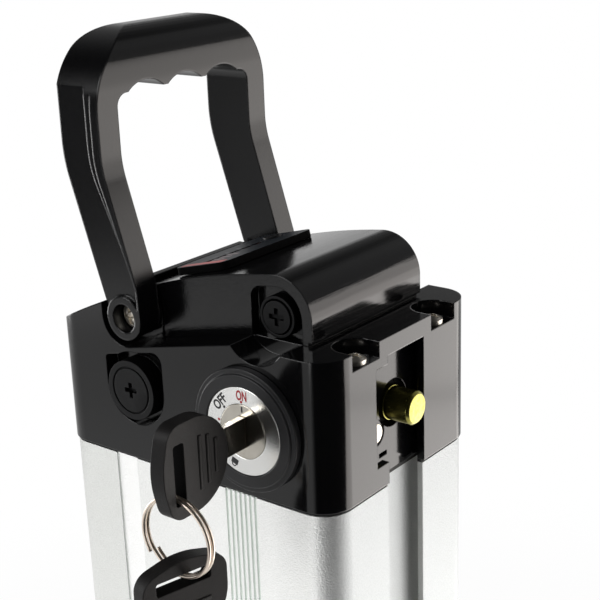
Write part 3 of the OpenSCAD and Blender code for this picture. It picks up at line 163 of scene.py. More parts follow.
mottle_grain = bpy.data.node_groups.new("mottle_and_grain", "ShaderNodeTree")
socket(mottle_grain, "Mottle Scale", "INPUT", value=60.0)
socket(mottle_grain, "Grain Scale", "INPUT", value=2000.0)
socket(mottle_grain, "Mottle", "OUTPUT")
socket(mottle_grain, "Grain", "OUTPUT")
g_in = new_node(mottle_grain, "NodeGroupInput")
g_out = new_node(mottle_grain, "NodeGroupOutput")
g_place = new_node(mottle_grain, "ShaderNodeTexCoord")
for label, detail in (("Mottle", 3.0), ("Grain", 2.0)):
    noise = new_node(mottle_grain, "ShaderNodeTexNoise")
    noise.inputs["Detail"].default_value = detail
    mottle_grain.links.new(g_place.outputs["Object"], noise.inputs["Vector"])
    mottle_grain.links.new(g_in.outputs[label + " Scale"], noise.inputs["Scale"])
    mottle_grain.links.new(noise.outputs["Fac"], g_out.inputs[label])
print("group", mottle_grain.name)

# %% [markdown]
# A moulding has no knife edges, and a rounded edge is what catches the light. A Bevel node looks round corners
# while the picture is made: it gives a normal that turns smoothly over the edge, with no new faces. The second
# group passes that normal on, and where it leaves the flat normal it also gives an edge mask for worn, paler edges.

# %% Node group: rounded edge
rounded_edge = bpy.data.node_groups.new("rounded_edge", "ShaderNodeTree")
socket(rounded_edge, "Radius", "INPUT", value=0.0005)
socket(rounded_edge, "Sharpness", "INPUT", value=3.0)
socket(rounded_edge, "Edge", "OUTPUT")
socket(rounded_edge, "Normal", "OUTPUT", "NodeSocketVector")
e_in = new_node(rounded_edge, "NodeGroupInput")
e_out = new_node(rounded_edge, "NodeGroupOutput")
e_round = new_node(rounded_edge, "ShaderNodeBevel", samples=6)
e_flat = new_node(rounded_edge, "ShaderNodeNewGeometry")
e_dot = new_node(rounded_edge, "ShaderNodeVectorMath", operation="DOT_PRODUCT")
e_turn = combine(rounded_edge, "SUBTRACT", 1.0, e_dot.outputs["Value"])
e_mask = combine(rounded_edge, "MULTIPLY", e_turn, e_in.outputs["Sharpness"], clamp=True)
for source, target in (
        (e_in.outputs["Radius"], e_round.inputs["Radius"]), (e_round.outputs["Normal"], e_dot.inputs[0]),
        (e_flat.outputs["Normal"], e_dot.inputs[1]), (e_mask, e_out.inputs["Edge"]),
        (e_round.outputs["Normal"], e_out.inputs["Normal"])):
    rounded_edge.links.new(source, target)
print("group", rounded_edge.name)

# %% [markdown]
# With the two groups, a finish is a recipe: two colours for the mottle to swing between, how much of the fine grain
# shows in the colour, an edge colour and an edge radius in millimetres, two roughnesses for the grain, and how deep
# the grain is. A helper writes the recipe down once, so that each material stays a short line and its values can be
# compared with its neighbours'.

# %% Helper: a finish from mottle, grain and edges
GRAIN_HEIGHT = 0.2 * MM

def finish(name, low, high, rough, metal=0.0, mottle=60.0, grain=2000.0, speckle=0.0, depth=0.02, edge=None,
           edge_mm=0.3):
    made = bpy.data.materials.new(name)
    made.use_nodes = True
    tree = made.node_tree
    shader = tree.nodes["Principled BSDF"]
    shader.inputs["Metallic"].default_value = metal
    uneven = new_node(tree, "ShaderNodeGroup", node_tree=mottle_grain)
    uneven.inputs["Mottle Scale"].default_value = mottle
    uneven.inputs["Grain Scale"].default_value = grain
    spread = new_node(tree, "ShaderNodeMix", data_type="FLOAT")
    spread.inputs["Factor"].default_value = speckle
    tree.links.new(uneven.outputs["Mottle"], spread.inputs["A"])
    tree.links.new(uneven.outputs["Grain"], spread.inputs["B"])
    tint = new_node(tree, "ShaderNodeMix", data_type="RGBA", name="tint")
    tint.inputs["A"].default_value = (*low, 1)
    tint.inputs["B"].default_value = (*high, 1)
    tree.links.new(spread.outputs["Result"], tint.inputs["Factor"])
    colour = tint.outputs["Result"]
    bump = new_node(tree, "ShaderNodeBump", name="grain_bump")
    bump.inputs["Strength"].default_value = depth
    bump.inputs["Distance"].default_value = GRAIN_HEIGHT
    tree.links.new(uneven.outputs["Grain"], bump.inputs["Height"])
    if edge:
        turned = new_node(tree, "ShaderNodeGroup", node_tree=rounded_edge)
        turned.inputs["Radius"].default_value = edge_mm * MM
        colour = overlaid(tree, colour, turned.outputs["Edge"], edge)
        tree.links.new(turned.outputs["Normal"], bump.inputs["Normal"])
    tree.links.new(colour, shader.inputs["Base Color"])
    gloss = new_node(tree, "ShaderNodeMapRange")
    gloss.inputs["To Min"].default_value, gloss.inputs["To Max"].default_value = rough
    tree.links.new(uneven.outputs["Grain"], gloss.inputs["Value"])
    tree.links.new(gloss.outputs["Result"], shader.inputs["Roughness"])
    tree.links.new(bump.outputs["Normal"], shader.inputs["Normal"])
    return made

print("helper for finishes ready")

# %% [markdown]
# The caps, hump and handle are moulded in glossy black plastic. It is not the colour that gives it its greys: the
# plastic itself is nearly as dark as soot, and what shows is a faint mirror of the pale room. The handle is a little
# less polished, and the hump has the deeper surface that the streaks two cells further on need.

# %% Finishes: glossy black mouldings
gloss_black = finish("gloss_black_moulding", (0.0014, 0.0014, 0.0016), (0.0026, 0.0026, 0.0029), (0.09, 0.15),
                     mottle=90, grain=900, depth=0.010, edge=(0.008, 0.008, 0.009), edge_mm=0.5)
handle_black = finish("handle_moulding", (0.0014, 0.0014, 0.0017), (0.0028, 0.0028, 0.0032), (0.17, 0.24),
                      mottle=70, grain=1100, depth=0.012, edge=(0.008, 0.008, 0.009), edge_mm=0.8)
hump_black = finish("polished_hump", (0.0014, 0.0014, 0.0016), (0.0026, 0.0026, 0.0029), (0.09, 0.15),
                    mottle=90, grain=900, depth=0.20, edge=(0.008, 0.008, 0.009), edge_mm=0.5)
print("finishes", gloss_black.name, handle_black.name, hump_black.name)

# %% [markdown]
# The front of the handle's grip is slightly crowned. The solid is flat there, so the crown is only in the normal: a
# second Bump node gets a height that falls off with the square of the distance above the fingers, which leans the
# normal back more and more towards the top.

# %% Crown on the front of the grip
crown_start, crown_end, crown_tilt = 0.4245, 0.4360, 0.30
tree = handle_black.node_tree
above = combine(tree, "SUBTRACT", own_axes(tree)["Z"], crown_start, clamp=True)
fall = combine(tree, "MULTIPLY", combine(tree, "POWER", above, 2.0), -crown_tilt / (2 * (crown_end - crown_start)))
crown = new_node(tree, "ShaderNodeBump")
crown.inputs["Distance"].default_value = 1.0
grain_bump = tree.nodes["grain_bump"]
tree.links.new(fall, crown.inputs["Height"])
tree.links.new(grain_bump.inputs["Normal"].links[0].from_socket, crown.inputs["Normal"])
tree.links.new(crown.outputs["Normal"], grain_bump.inputs["Normal"])
print("crown from", crown_start, "to", crown_end, "m")

# %% [markdown]
# On the hump the shine breaks into fine streaks that run across its width. A Mapping node squeezes the place along Y
# before it reaches a Noise texture, which draws the noise out into lines that way. They take the grain's place in the
# Bump node.

# %% Streaks across the hump
streak_squeeze, streak_scale = (1.0, 0.03, 1.0), 1800.0
tree = hump_black.node_tree
spot = new_node(tree, "ShaderNodeTexCoord")
squeeze = new_node(tree, "ShaderNodeMapping")
squeeze.inputs["Scale"].default_value = streak_squeeze
streaks = new_node(tree, "ShaderNodeTexNoise")
streaks.inputs["Scale"].default_value = streak_scale
tree.links.new(spot.outputs["Object"], squeeze.inputs["Vector"])
tree.links.new(squeeze.outputs["Vector"], streaks.inputs["Vector"])
tree.links.new(streaks.outputs["Fac"], tree.nodes["grain_bump"].inputs["Height"])
print("streaks on", hump_black.name)

# %% [markdown]
# The collar and key bows are satin black with a finer grain, and the fuse cap and side screws are more matt still. A
# matt surface also mirrors less, so their specular level goes down. The darkest material is painted shade for walls
# deep in a slot, where hardly any light gets in or out. The rubber of the gaskets and the dust cap ends the row.

# %% Finishes: satin and matt plastics, painted shade, rubber
satin_black = finish("satin_black_moulding", (0.006, 0.006, 0.007), (0.012, 0.012, 0.013), (0.34, 0.48),
                     mottle=200, grain=3500, depth=0.12, edge=(0.03, 0.03, 0.03))
bow_black = finish("key_bow_moulding", (0.005, 0.0045, 0.0045), (0.011, 0.010, 0.010), (0.36, 0.52),
                   mottle=260, grain=2400, depth=0.22, edge=(0.03, 0.029, 0.028), edge_mm=0.5)
matt_plug = finish("matt_plug_moulding", (0.0025, 0.0025, 0.003), (0.006, 0.006, 0.0065), (0.5, 0.65),
                   mottle=240, grain=3000, depth=0.10, edge=(0.02, 0.02, 0.02))
# painted shade, not a plastic of the pack: near-black with almost no shine, for walls where shade falls
painted_shade_black = finish("painted_recess_shade", (0.0010, 0.0010, 0.0012), (0.0020, 0.0020, 0.0022), (0.6, 0.75),
                    mottle=240, grain=3000, depth=0.05)
for plastic, level in ((matt_plug, 0.24), (bow_black, 0.2), (satin_black, 0.42), (painted_shade_black, 0.05)):
    plastic.node_tree.nodes["Principled BSDF"].inputs["Specular IOR Level"].default_value = level
soft_rubber = finish("soft_rubber", (0.010, 0.010, 0.010), (0.020, 0.020, 0.020), (0.6, 0.75),
                     mottle=120, grain=2500, depth=0.15)
print("satin and matt plastics ready")

# %% [markdown]
# The sleeve is extruded aluminium, bead-blasted and anodised. Up close it sparkles: each tiny pit tilts its own way.
# A grain of about half a millimetre, in the colour and in the bump, does that. Its broad faces have a shallow band,
# which is smoother and paler, and a bundle of fine grooves, and this cell makes a mask for each: a Compare node
# answers 1 inside a stretch of X or of depth under the face, and 0 outside it.

# %% Finish: blasted sleeve, and where its band and grooves lie
satin_aluminium = finish("satin_aluminium", (0.76, 0.77, 0.75), (1.0, 1.0, 0.99), (0.34, 0.56), metal=1.0,
                         mottle=30, grain=2000, speckle=0.9, depth=0.7, edge=(0.97, 0.97, 0.97), edge_mm=0.25)
tree = satin_aluminium.node_tree
axes = own_axes(tree)
face_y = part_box("sleeve")[1][1]
depth_in = combine(tree, "ABSOLUTE", axes["Y"])
band_middle, band_half, wall_room = -26.8 * MM, 4.5 * MM, 0.1 * MM
lines_middle, lines_half = 20.7 * MM, 6.05 * MM
line_depth, line_reach = 0.33 * MM, 0.30 * MM
wall_depth, wall_reach = 0.25 * MM, 0.22 * MM

def under_face(x_middle, x_half, depth, reach):
    return combine(tree, "MULTIPLY", combine(tree, "COMPARE", axes["X"], x_middle, x_half),
                   combine(tree, "COMPARE", depth_in, face_y - depth, reach))

in_band = combine(tree, "COMPARE", axes["X"], band_middle, band_half)
in_lines = under_face(lines_middle, lines_half, line_depth, line_reach)
band_walls = under_face(band_middle, band_half + wall_room, wall_depth, wall_reach)
grooves = combine(tree, "MAXIMUM", in_lines, band_walls)
# mask for painted shade: the strip behind the band, which the next cell darkens in place of its dimmer reflection
shade_behind_band = combine(tree, "LESS_THAN", axes["X"], band_middle - band_half)
print("sleeve face at", round(face_y, 4), "m")

# %% [markdown]
# The masks now colour the sleeve: the band gets paler, the strip behind it gets painted shade, a little darker to stand
# in for its dimmer reflection, and the grooves a greenish grey. Hardly any clear mirror image comes out of so fine
# a groove, so the grooves lose their metal too. The new colour goes to whatever the mottle's colour fed before.

# %% Colours of the band and the grooves, and painted shade behind the band
mottled = tree.nodes["tint"].outputs["Result"]
fed_before = [link.to_socket for link in mottled.links]
paler = overlaid(tree, mottled, in_band, (1.0, 1.0, 0.99))
# painted shade: the aluminium is one colour, and this darker strip stands in for the dimmer reflection behind the band
shaded_behind_band = overlaid(tree, paler, shade_behind_band, (0.88, 0.885, 0.875), "MULTIPLY")
sleeve_colour = overlaid(tree, shaded_behind_band, grooves, (0.80, 0.86, 0.81))
for target in fed_before:
    tree.links.new(sleeve_colour, target)
tree.links.new(combine(tree, "SUBTRACT", 1.0, grooves), tree.nodes["Principled BSDF"].inputs["Metallic"])
print("sleeve coloured by", len(tree.nodes), "nodes")

# %% [markdown]
# The other metals are small and differ mostly in warmth and polish: nickel on keys and screws, brass on the bolt, a
# satin white metal on the dial and a worn one on the barrel. The split ring looks warmer than the keys, and only the
# contact blades are copper.

# %% Finishes: small metals
nickel = finish("bright_nickel", (0.62, 0.57, 0.49), (0.76, 0.72, 0.65), (0.12, 0.22), metal=1.0,
                mottle=150, grain=2500, depth=0.03, edge=(0.85, 0.82, 0.76), edge_mm=0.15)
brass = finish("turned_brass", (0.20, 0.165, 0.01), (0.58, 0.56, 0.19), (0.20, 0.30), metal=1.0,
               mottle=700, grain=3000, speckle=0.25, depth=0.06, edge=(0.62, 0.58, 0.24), edge_mm=0.2)
dial_steel = finish("satin_dial_metal", (0.80, 0.80, 0.78), (0.96, 0.96, 0.94), (0.16, 0.26), metal=1.0,
                    mottle=160, grain=3500, speckle=0.5, depth=0.08, edge=(0.55, 0.54, 0.52), edge_mm=0.2)
barrel_nickel = finish("worn_barrel_nickel", (0.46, 0.43, 0.37), (0.70, 0.67, 0.60), (0.13, 0.24), metal=1.0,
                       mottle=240, grain=2600, speckle=0.3, depth=0.06, edge=(0.30, 0.28, 0.25), edge_mm=0.3)
screw_nickel = finish("satin_screw_nickel", (0.66, 0.61, 0.53), (0.84, 0.80, 0.73), (0.30, 0.42), metal=1.0,
                      mottle=300, grain=3000, depth=0.08, edge=(0.9, 0.87, 0.8), edge_mm=0.15)
ring_steel = finish("plated_ring_wire", (0.86, 0.73, 0.61), (0.96, 0.85, 0.74), (0.26, 0.36), metal=1.0,
                    mottle=200, grain=3000, depth=0.04)
copper = finish("contact_copper", (0.60, 0.30, 0.18), (0.72, 0.42, 0.27), (0.2, 0.35), metal=1.0)
print("small metals ready")

# %% [markdown]
# The last finishes are for the gauge and for what the case hides: boards, cell wrap, paper, foam, lamp lenses and the
# fuse glass. Most of them are only seen when the model is taken apart, but each keeps a mottle and a grain of its own.

# %% Finishes: gauge and inner pieces
gauge_film = finish("gauge_film", (0.003, 0.007, 0.013), (0.006, 0.013, 0.022), (0.42, 0.54), grain=1500, depth=0.02,
                    edge=(0.02, 0.02, 0.025), edge_mm=0.4)
lamp_lens = finish("lamp_lens", (0.030, 0.010, 0.010), (0.055, 0.016, 0.016), (0.12, 0.2), grain=1500, depth=0.01)
solder_mask = finish("solder_mask", (0.015, 0.10, 0.04), (0.03, 0.15, 0.07), (0.3, 0.45), mottle=300)
cell_wrap = finish("cell_wrap", (0.03, 0.13, 0.32), (0.05, 0.18, 0.40), (0.2, 0.32), mottle=80)
fish_paper = finish("insulation_paper", (0.42, 0.36, 0.18), (0.55, 0.48, 0.27), (0.7, 0.85), mottle=120, depth=0.3)
grey_foam = finish("grey_foam", (0.09, 0.09, 0.09), (0.16, 0.16, 0.16), (0.8, 0.95), mottle=600, depth=0.5)
red_wire = finish("red_wire", (0.40, 0.02, 0.015), (0.52, 0.03, 0.02), (0.3, 0.4))
fuse_glass = finish("fuse_glass", (0.80, 0.84, 0.84), (0.88, 0.92, 0.92), (0.05, 0.12), depth=0.0)
print("inner finishes ready")

# %% [markdown]
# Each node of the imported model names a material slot, and a table turns the slot into a finish. A few nodes share a
# slot with pieces that look different, so a second table gives those their own finish.

# %% Give every node its finish
finish_of_slot = {
    "gloss_black": gloss_black, "matt_black": satin_black, "rubber": soft_rubber, "satin_aluminium": satin_aluminium,
    "nickel": nickel, "brass": brass, "dial_steel": dial_steel, "panel": gauge_film, "lamp": lamp_lens,
    "board": solder_mask, "cell_wrap": cell_wrap, "insulation": fish_paper, "foam": grey_foam, "fuse_glass": fuse_glass}
own_finish = {
    "handle": handle_black, "hump_cover": hump_black, "fuse_cap": matt_plug, "key_bow": bow_black,
    "spare_bow": bow_black, "side_screws": matt_plug, "side_washers": matt_plug, "lock_barrel": barrel_nickel,
    "cap_screws": screw_nickel, "pivot_screws": screw_nickel, "lead_charge": red_wire, "lead_fuse": red_wire,
    "contact_blades": copper}
for name, piece in nodes.items():
    piece.data.materials.clear()
    piece.data.materials.append(own_finish.get(name, finish_of_slot[slot_of_node[name]]))
print("finishes given to", len(nodes), "nodes")

# %% [markdown]
# The big mouldings keep their CAD meshes, whose normals are exact, and their edges come from the material. Small
# plain pieces are closer to the eye, so each gets a copy that stands in for its node: doubled points are merged,
# triangles are joined back into flat faces, and a Bevel modifier breaks the edges as narrowly as on the real piece.

# %% Helper: a copy with softened edges
WELD = 0.002 * MM
FLAT_ANGLE, EDGE_ANGLE = math.radians(0.6), math.radians(32)

def soften(node, bevel_mm):
    mesh = nodes[node].data.copy()
    work = bmesh.new()
    work.from_mesh(mesh)
    bmesh.ops.remove_doubles(work, verts=work.verts, dist=WELD)
    bmesh.ops.dissolve_limit(work, angle_limit=FLAT_ANGLE, verts=work.verts, edges=work.edges)
    for face in work.faces:
        face.smooth = True
    work.to_mesh(mesh)
    work.free()
    mesh.set_sharp_from_angle(angle=EDGE_ANGLE)
    piece = place_object(node + "_soft", mesh)
    bevel = piece.modifiers.new("soft_edge", "BEVEL")
    bevel.width = bevel_mm * MM
    bevel.segments = 3
    bevel.limit_method = "ANGLE"
    bevel.angle_limit = EDGE_ANGLE
    bevel.harden_normals = True
    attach(piece, body_of_node[node])
    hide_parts(node)
    return piece

print("helper for softened copies ready")

# %% [markdown]
# How wide an edge is broken says how the piece was made, in millimetres here: a moulded key bow is rounded for the
# fingers, the collar and the gauge panel have small mould radii, and turned or stamped metal is only deburred.

# %% Soften the small pieces
bevel_of = {
    "lock_collar": 0.4, "fuse_cap": 0.3, "key_bow": 0.8, "spare_bow": 0.8, "dial_ring": 0.2, "lock_barrel": 0.2,
    "side_washers": 0.3, "side_screws": 0.2, "lock_bolt": 0.15, "key_blade": 0.15, "spare_blade": 0.15,
    "gauge_panel": 0.4}
softened = {node: soften(node, bevel_mm) for node, bevel_mm in bevel_of.items()}
print("softened", sorted(softened))

# %% [markdown]
# The split ring and the lock's spring are wound wire. A tube is swept along the same path that the CAD model uses,
# with many more steps: at each point two directions across the path make a circle, and they are carried along
# without twisting. A curve with a bevel would do as well, but a mesh shows how such a sweep works.

# %% Helper: a wire swept along a path
def wire(name, path, radius, body, node, metal, sides=14):
    work = bmesh.new()
    across = None
    rings = []
    for i, point in enumerate(path):
        along = (path[min(i + 1, len(path) - 1)] - path[max(i - 1, 0)]).normalized()
        across = along.orthogonal() if across is None else across - along * across.dot(along)
        across.normalize()
        other = along.cross(across)
        rings.append([work.verts.new(point + radius * (across * math.cos(a) + other * math.sin(a)))
                      for a in (2 * math.pi * k / sides for k in range(sides))])
    for first, second in zip(rings, rings[1:]):
        for k in range(sides):
            work.faces.new((first[k], first[(k + 1) % sides], second[(k + 1) % sides], second[k])).smooth = True
    work.faces.new(rings[0][::-1])
    work.faces.new(rings[-1])
    piece = place_object(name, finished_mesh(name, work, metal))
    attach(piece, body)
    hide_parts(node)
    return piece

print("helper for wires ready")

# %% [markdown]
# The split ring is two turns of wire that lie side by side. Its path is a circle whose Y drifts by one pitch in each
# turn, counted from the first pass over the top of the ring, so that the two turns lie evenly about its middle.

# %% Split ring
ring_middle = Vector(joints["spare_swing"]["pos_m"])
ring_r, ring_pitch, ring_wire = 11.9 * MM, 1.55 * MM, 0.55 * MM
ring_start, ring_first_top, ring_step = 215, 450, 4
ring_path = []
for angle in range(ring_start, ring_start + 721, ring_step):
    turn = math.radians(angle)
    drift = -ring_pitch * ((angle - ring_first_top) / 360 - 0.5)
    ring_path.append(ring_middle + Vector((ring_r * math.cos(turn), drift, ring_r * math.sin(turn))))
ring_piece = wire("split_ring_wire", ring_path, ring_wire, "split_ring", "split_ring", ring_steel)
print("ring wire of", len(ring_path), "points")

# %% [markdown]
# The lock's spring pushes its sleeve back out. It stands between the sleeve and the far end of the lock's case, and
# the far end stays put when the lock is pushed, so the coil squashes towards that end. Here the coil is swept at
# its rest length, from end to end of its part's box.

# %% Lock spring
lock_centre = Vector(joints["lock_turn"]["pos_m"])
coil_low, coil_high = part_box("lock_spring")
coil_wire, coil_r, coil_turns, coil_step = 0.5 * MM, 6.9 * MM, 4, 8
coil_y0, coil_y1 = coil_low[1] + coil_wire, coil_high[1] - coil_wire
coil_path = []
for angle in range(0, 360 * coil_turns + 1, coil_step):
    turn = math.radians(angle)
    coil_path.append(Vector((lock_centre.x + coil_r * math.cos(turn),
                             coil_y0 + (coil_y1 - coil_y0) * (angle / (360 * coil_turns)),
                             lock_centre.z + coil_r * math.sin(turn))))
coil = wire("lock_spring_coil", coil_path, coil_wire, "case", "lock_spring", nickel, sides=10)
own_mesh(coil)
print("spring wire of", len(coil_path), "points")

# %% [markdown]
# Print is ink with a thickness. Each mark in the next cells is a flat outline, drawn in millimetres and raised by
# 0.03 mm, so it stands proud of the surface and never flickers against it. The helper takes the outlines, the matrix
# that lays them down, and an ink.

# %% Inks, and a helper for inked shapes
red_ink = finish("red_ink", (0.27, 0.004, 0.006), (0.38, 0.008, 0.012), (0.45, 0.6), mottle=900, grain=5000)
black_ink = finish("black_ink", (0.006, 0.006, 0.007), (0.014, 0.014, 0.015), (0.35, 0.5), mottle=900, grain=5000)
pale_ink = finish("pale_ink", (0.16, 0.12, 0.125), (0.24, 0.18, 0.185), (0.35, 0.5), mottle=900, grain=5000)
faint_ink = finish("faint_ink", (0.020, 0.024, 0.034), (0.034, 0.040, 0.054), (0.3, 0.45), mottle=900, grain=5000)
film_red = finish("film_red_print", (0.42, 0.05, 0.05), (0.55, 0.09, 0.09), (0.35, 0.5), mottle=500, grain=5000)
INK = 0.03 * MM

def ink_shape(name, outlines, matrix, material, body="case"):
    work = bmesh.new()
    for outline in outlines:
        lower = [work.verts.new((x * MM, y * MM, 0.0)) for x, y in outline]
        upper = [work.verts.new((x * MM, y * MM, INK)) for x, y in outline]
        work.faces.new(upper)
        work.faces.new(lower[::-1])
        for k in range(len(outline)):
            after = (k + 1) % len(outline)
            work.faces.new((lower[k], lower[after], upper[after], upper[k]))
    work.transform(matrix)
    piece = place_object(name, finished_mesh(name, work, material))
    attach(piece, body)

print("inks ready")

# %% [markdown]
# Three outlines are enough for all the signs: a disc, a bar with rounded corners and a bent band. Each helper gives a
# list of points that runs once round the outline, anticlockwise, so that the raised face looks outwards.

# %% Helpers: outlines of the signs
def disc(x, y, r, count=28):
    turns = [2 * math.pi * k / count for k in range(count)]
    return [(x + r * math.cos(a), y + r * math.sin(a)) for a in turns]

def bar(x0, y0, x1, y1, r, steps=5):
    points = []
    for cx, cy, start in ((x1 - r, y1 - r, 0), (x0 + r, y1 - r, 90), (x0 + r, y0 + r, 180), (x1 - r, y0 + r, 270)):
        for k in range(steps + 1):
            a = math.radians(start + 90 * k / steps)
            points.append((cx + r * math.cos(a), cy + r * math.sin(a)))
    return points

def arc_band(x, y, r0, r1, a0, a1, steps=16):
    turns = [math.radians(a0 + (a1 - a0) * k / steps) for k in range(steps + 1)]
    return ([(x + r1 * math.cos(a), y + r1 * math.sin(a)) for a in turns]
            + [(x + r0 * math.cos(a), y + r0 * math.sin(a)) for a in reversed(turns)])

print("outlines ready")

# %% [markdown]
# The dial says how far the lock is turned, with the two plain words ON and OFF. A helper gives the place of a mark by
# its clock angle and its distance from the lock's axis, with its top turned outwards. The letters come from a text
# object, turned into a mesh and scaled to the size they have on the dial.

# %% Words on the dial
dial_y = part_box("dial_ring")[0][1]

def on_dial(clock, radius_mm, y=dial_y):
    turn = math.radians(clock)
    place = Vector((lock_centre.x + radius_mm * MM * math.sin(turn), y,
                    lock_centre.z + radius_mm * MM * math.cos(turn)))
    return Matrix.Translation(place) @ Matrix.Rotation(turn, 4, "Y") @ Matrix.Rotation(math.pi / 2, 4, "X")

def dial_word(word, clock, radius_mm, height_mm, width_mm, material):
    letters = bpy.data.curves.new("word_" + word, "FONT")
    letters.body = word
    letters.align_x, letters.align_y = "CENTER", "CENTER"
    letters.size = 1.0
    letters.offset = 0.03
    letters.extrude = 0.5
    holder = place_object("word_" + word, letters)
    bpy.context.view_layer.update()
    mesh = bpy.data.meshes.new_from_object(holder.evaluated_get(bpy.context.evaluated_depsgraph_get()))
    bpy.data.objects.remove(holder)
    xs, ys = [v.co.x for v in mesh.vertices], [v.co.y for v in mesh.vertices]
    centre = Matrix.Translation((-(min(xs) + max(xs)) / 2, -(min(ys) + max(ys)) / 2, letters.extrude))
    scale = Matrix.Diagonal((width_mm * MM / (max(xs) - min(xs)), height_mm * MM / (max(ys) - min(ys)), INK, 1))
    mesh.transform(on_dial(clock, radius_mm) @ scale @ centre)
    mesh.materials.clear()
    mesh.materials.append(material)
    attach(place_object("dial_" + word, mesh), "case")

dial_word("ON", 0, 11.1, 3.1, 3.9, red_ink)
dial_word("OFF", -47.5, 11.3, 3.1, 5.6, black_ink)
print("words on the dial at y", round(dial_y, 4))

# %% [markdown]
# Round the words go plain signs: a dot for each place where the lock can stand, a small padlock and a triangle. A
# short bar on the barrel shows which dot it points to, and it rides on the barrel so that it turns with the key.

# %% Dots and signs on the dial
dot_r, dot_distance = 0.42, 9.2
for name, clock, material in (("dot_on", -1, red_ink), ("dot_off", -47, black_ink), ("dot_push", -78.5, red_ink)):
    ink_shape(name, [disc(0, 0, dot_r)], on_dial(clock, dot_distance), material)
padlock = [bar(-1.25, -1.3, 1.25, 0.5, 0.2), arc_band(0, 0.5, 0.55, 0.9, 0, 180)]
ink_shape("padlock_sign", padlock, on_dial(-160, 11.2), black_ink)
triangle = [(-0.9, 0.6), (0, -0.9), (0.9, 0.6)]
ink_shape("push_sign", [triangle], on_dial(-92, 11.4), red_ink)
barrel_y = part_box("lock_barrel")[0][1]
ink_shape("barrel_index", [bar(-0.28, -0.9, 0.28, 0.9, 0.25)], on_dial(0, 6.9, barrel_y), black_ink, "lock_barrel")
print("dial marks printed")

# %% [markdown]
# The gauge film slopes with the hump. Its own frame comes from the way its button is pressed: the normal is the
# opposite of that, and the film's X lies in the slope. The print is a red bar along the edge on the lock's side, with
# pale bars next to it, faint marks beside the lamp windows, which get broader from lamp to lamp, and a ring round
# the button.

# %% Gauge film print
film_normal = -Vector(joints["gauge_press"]["axis"]).normalized()
film_along = Vector((film_normal.z, 0, -film_normal.x))
film_origin = Vector((-5.56, 0, 371.6)) * MM
film = Matrix((
    (film_along.x, 0, film_normal.x, film_origin.x), (film_along.y, 1, film_normal.y, film_origin.y),
    (film_along.z, 0, film_normal.z, film_origin.z), (0, 0, 0, 1)))
ink_shape("film_red_bar", [bar(-8.8, -21.2, 9.0, -18.0, 0.5)], film, film_red)
pale_first, pale_last, pale_pitch = -16.6, -14.9, 3.4
pale_bars = [bar(0.4, pale_first + pale_pitch * k, 5.4, pale_last + pale_pitch * k, 0.25) for k in range(3)]
ink_shape("film_pale_bars", pale_bars, film, pale_ink)
lamp_first, lamp_pitch, tick_half, tick_growth = -16.0, 5.6, 0.35, 0.12
ticks = []
for k in range(5):
    lamp_y, half = lamp_first + lamp_pitch * k, tick_half + tick_growth * k
    ticks.append(bar(-4.6, lamp_y - half, -2.2, lamp_y + half, 0.2))
ink_shape("film_level_marks", ticks, film, faint_ink)
button_y, button_ring = 14.0, (3.9, 4.4)
half_rings = [arc_band(0, button_y, *button_ring, start, end, 24) for start, end in ((0, 178), (182, 358))]
ink_shape("film_button_ring", half_rings, film, faint_ink)
print("gauge film printed")

# %% [markdown]
# A key is easiest to think of in its own frame, with U out along the key, V across it and W through its thickness. One
# matrix takes that frame to the key in the lock, and another one to the spare key, which hangs from the ring and is
# turned a little about the upright.

# %% Frames of the two keys
key_frame = Matrix(((0, 0, 1, lock_centre.x), (-1, 0, 0, lock_centre.y), (0, -1, 0, lock_centre.z), (0, 0, 0, 1)))
spare_height, spare_turn = 269.05 * MM, math.radians(-14)
spare_origin = Vector((ring_middle.x, ring_middle.y + ring_pitch / 2, spare_height))
spare_frame = (Matrix.Translation(spare_origin) @ Matrix.Rotation(spare_turn, 4, "Z")
               @ Matrix(((0, 0, 1, 0), (0, -1, 0, 0), (1, 0, 0, 0), (0, 0, 0, 1))))
print("spare key at", [round(v, 4) for v in spare_origin])

# %% [markdown]
# The walls of a narrow slot, the sides of a sunk plug and the edges of the gauge panel stay darker than the fronts
# beside them, because the light is lost between them and what faces them. These faces get painted shade, the
# near-black material, as a second material. They are picked in the piece's own frame, by where they lie and which way
# they look.

# %% Painted shade on the walls of slots and plugs
SIDEWAYS = 0.5

# Painted shade: the picked faces get the near-black material in a second slot.
def darken_faces(node, matrix, inside):
    to_local = matrix.inverted()
    mesh = softened[node].data
    mesh.materials.append(painted_shade_black)
    walls = [f for f in mesh.polygons if inside(to_local @ f.center, to_local.to_3x3() @ f.normal)]
    for face in walls:
        face.material_index = 1
    print("dark walls on", node, len(walls))

def in_ring_slot(place, normal):
    slot_u, slot_drop, half_w, half_l = 29.4 * MM, 1.2 * MM, 2.05 * MM, 9.05 * MM
    return abs(place.x - slot_u) < half_w and abs(place.y - slot_drop) < half_l and abs(normal.z) < SIDEWAYS

darken_faces("key_bow", key_frame, in_ring_slot)
darken_faces("spare_bow", spare_frame, in_ring_slot)
for node in ("fuse_cap", "side_washers", "side_screws"):
    darken_faces(node, Matrix(), lambda place, normal: abs(normal.y) < SIDEWAYS)
darken_faces("gauge_panel", film, lambda place, normal: normal.z < SIDEWAYS)

# %% [markdown]
# A screwdriver leaves a cap at any angle. The cross in the fuse cap's copy is turned to the angle that it has in the
# photograph: the points of the cross are those near the axis and close under the front, and one rotation about the
# axis moves them all, which keeps every face of the cross flat.

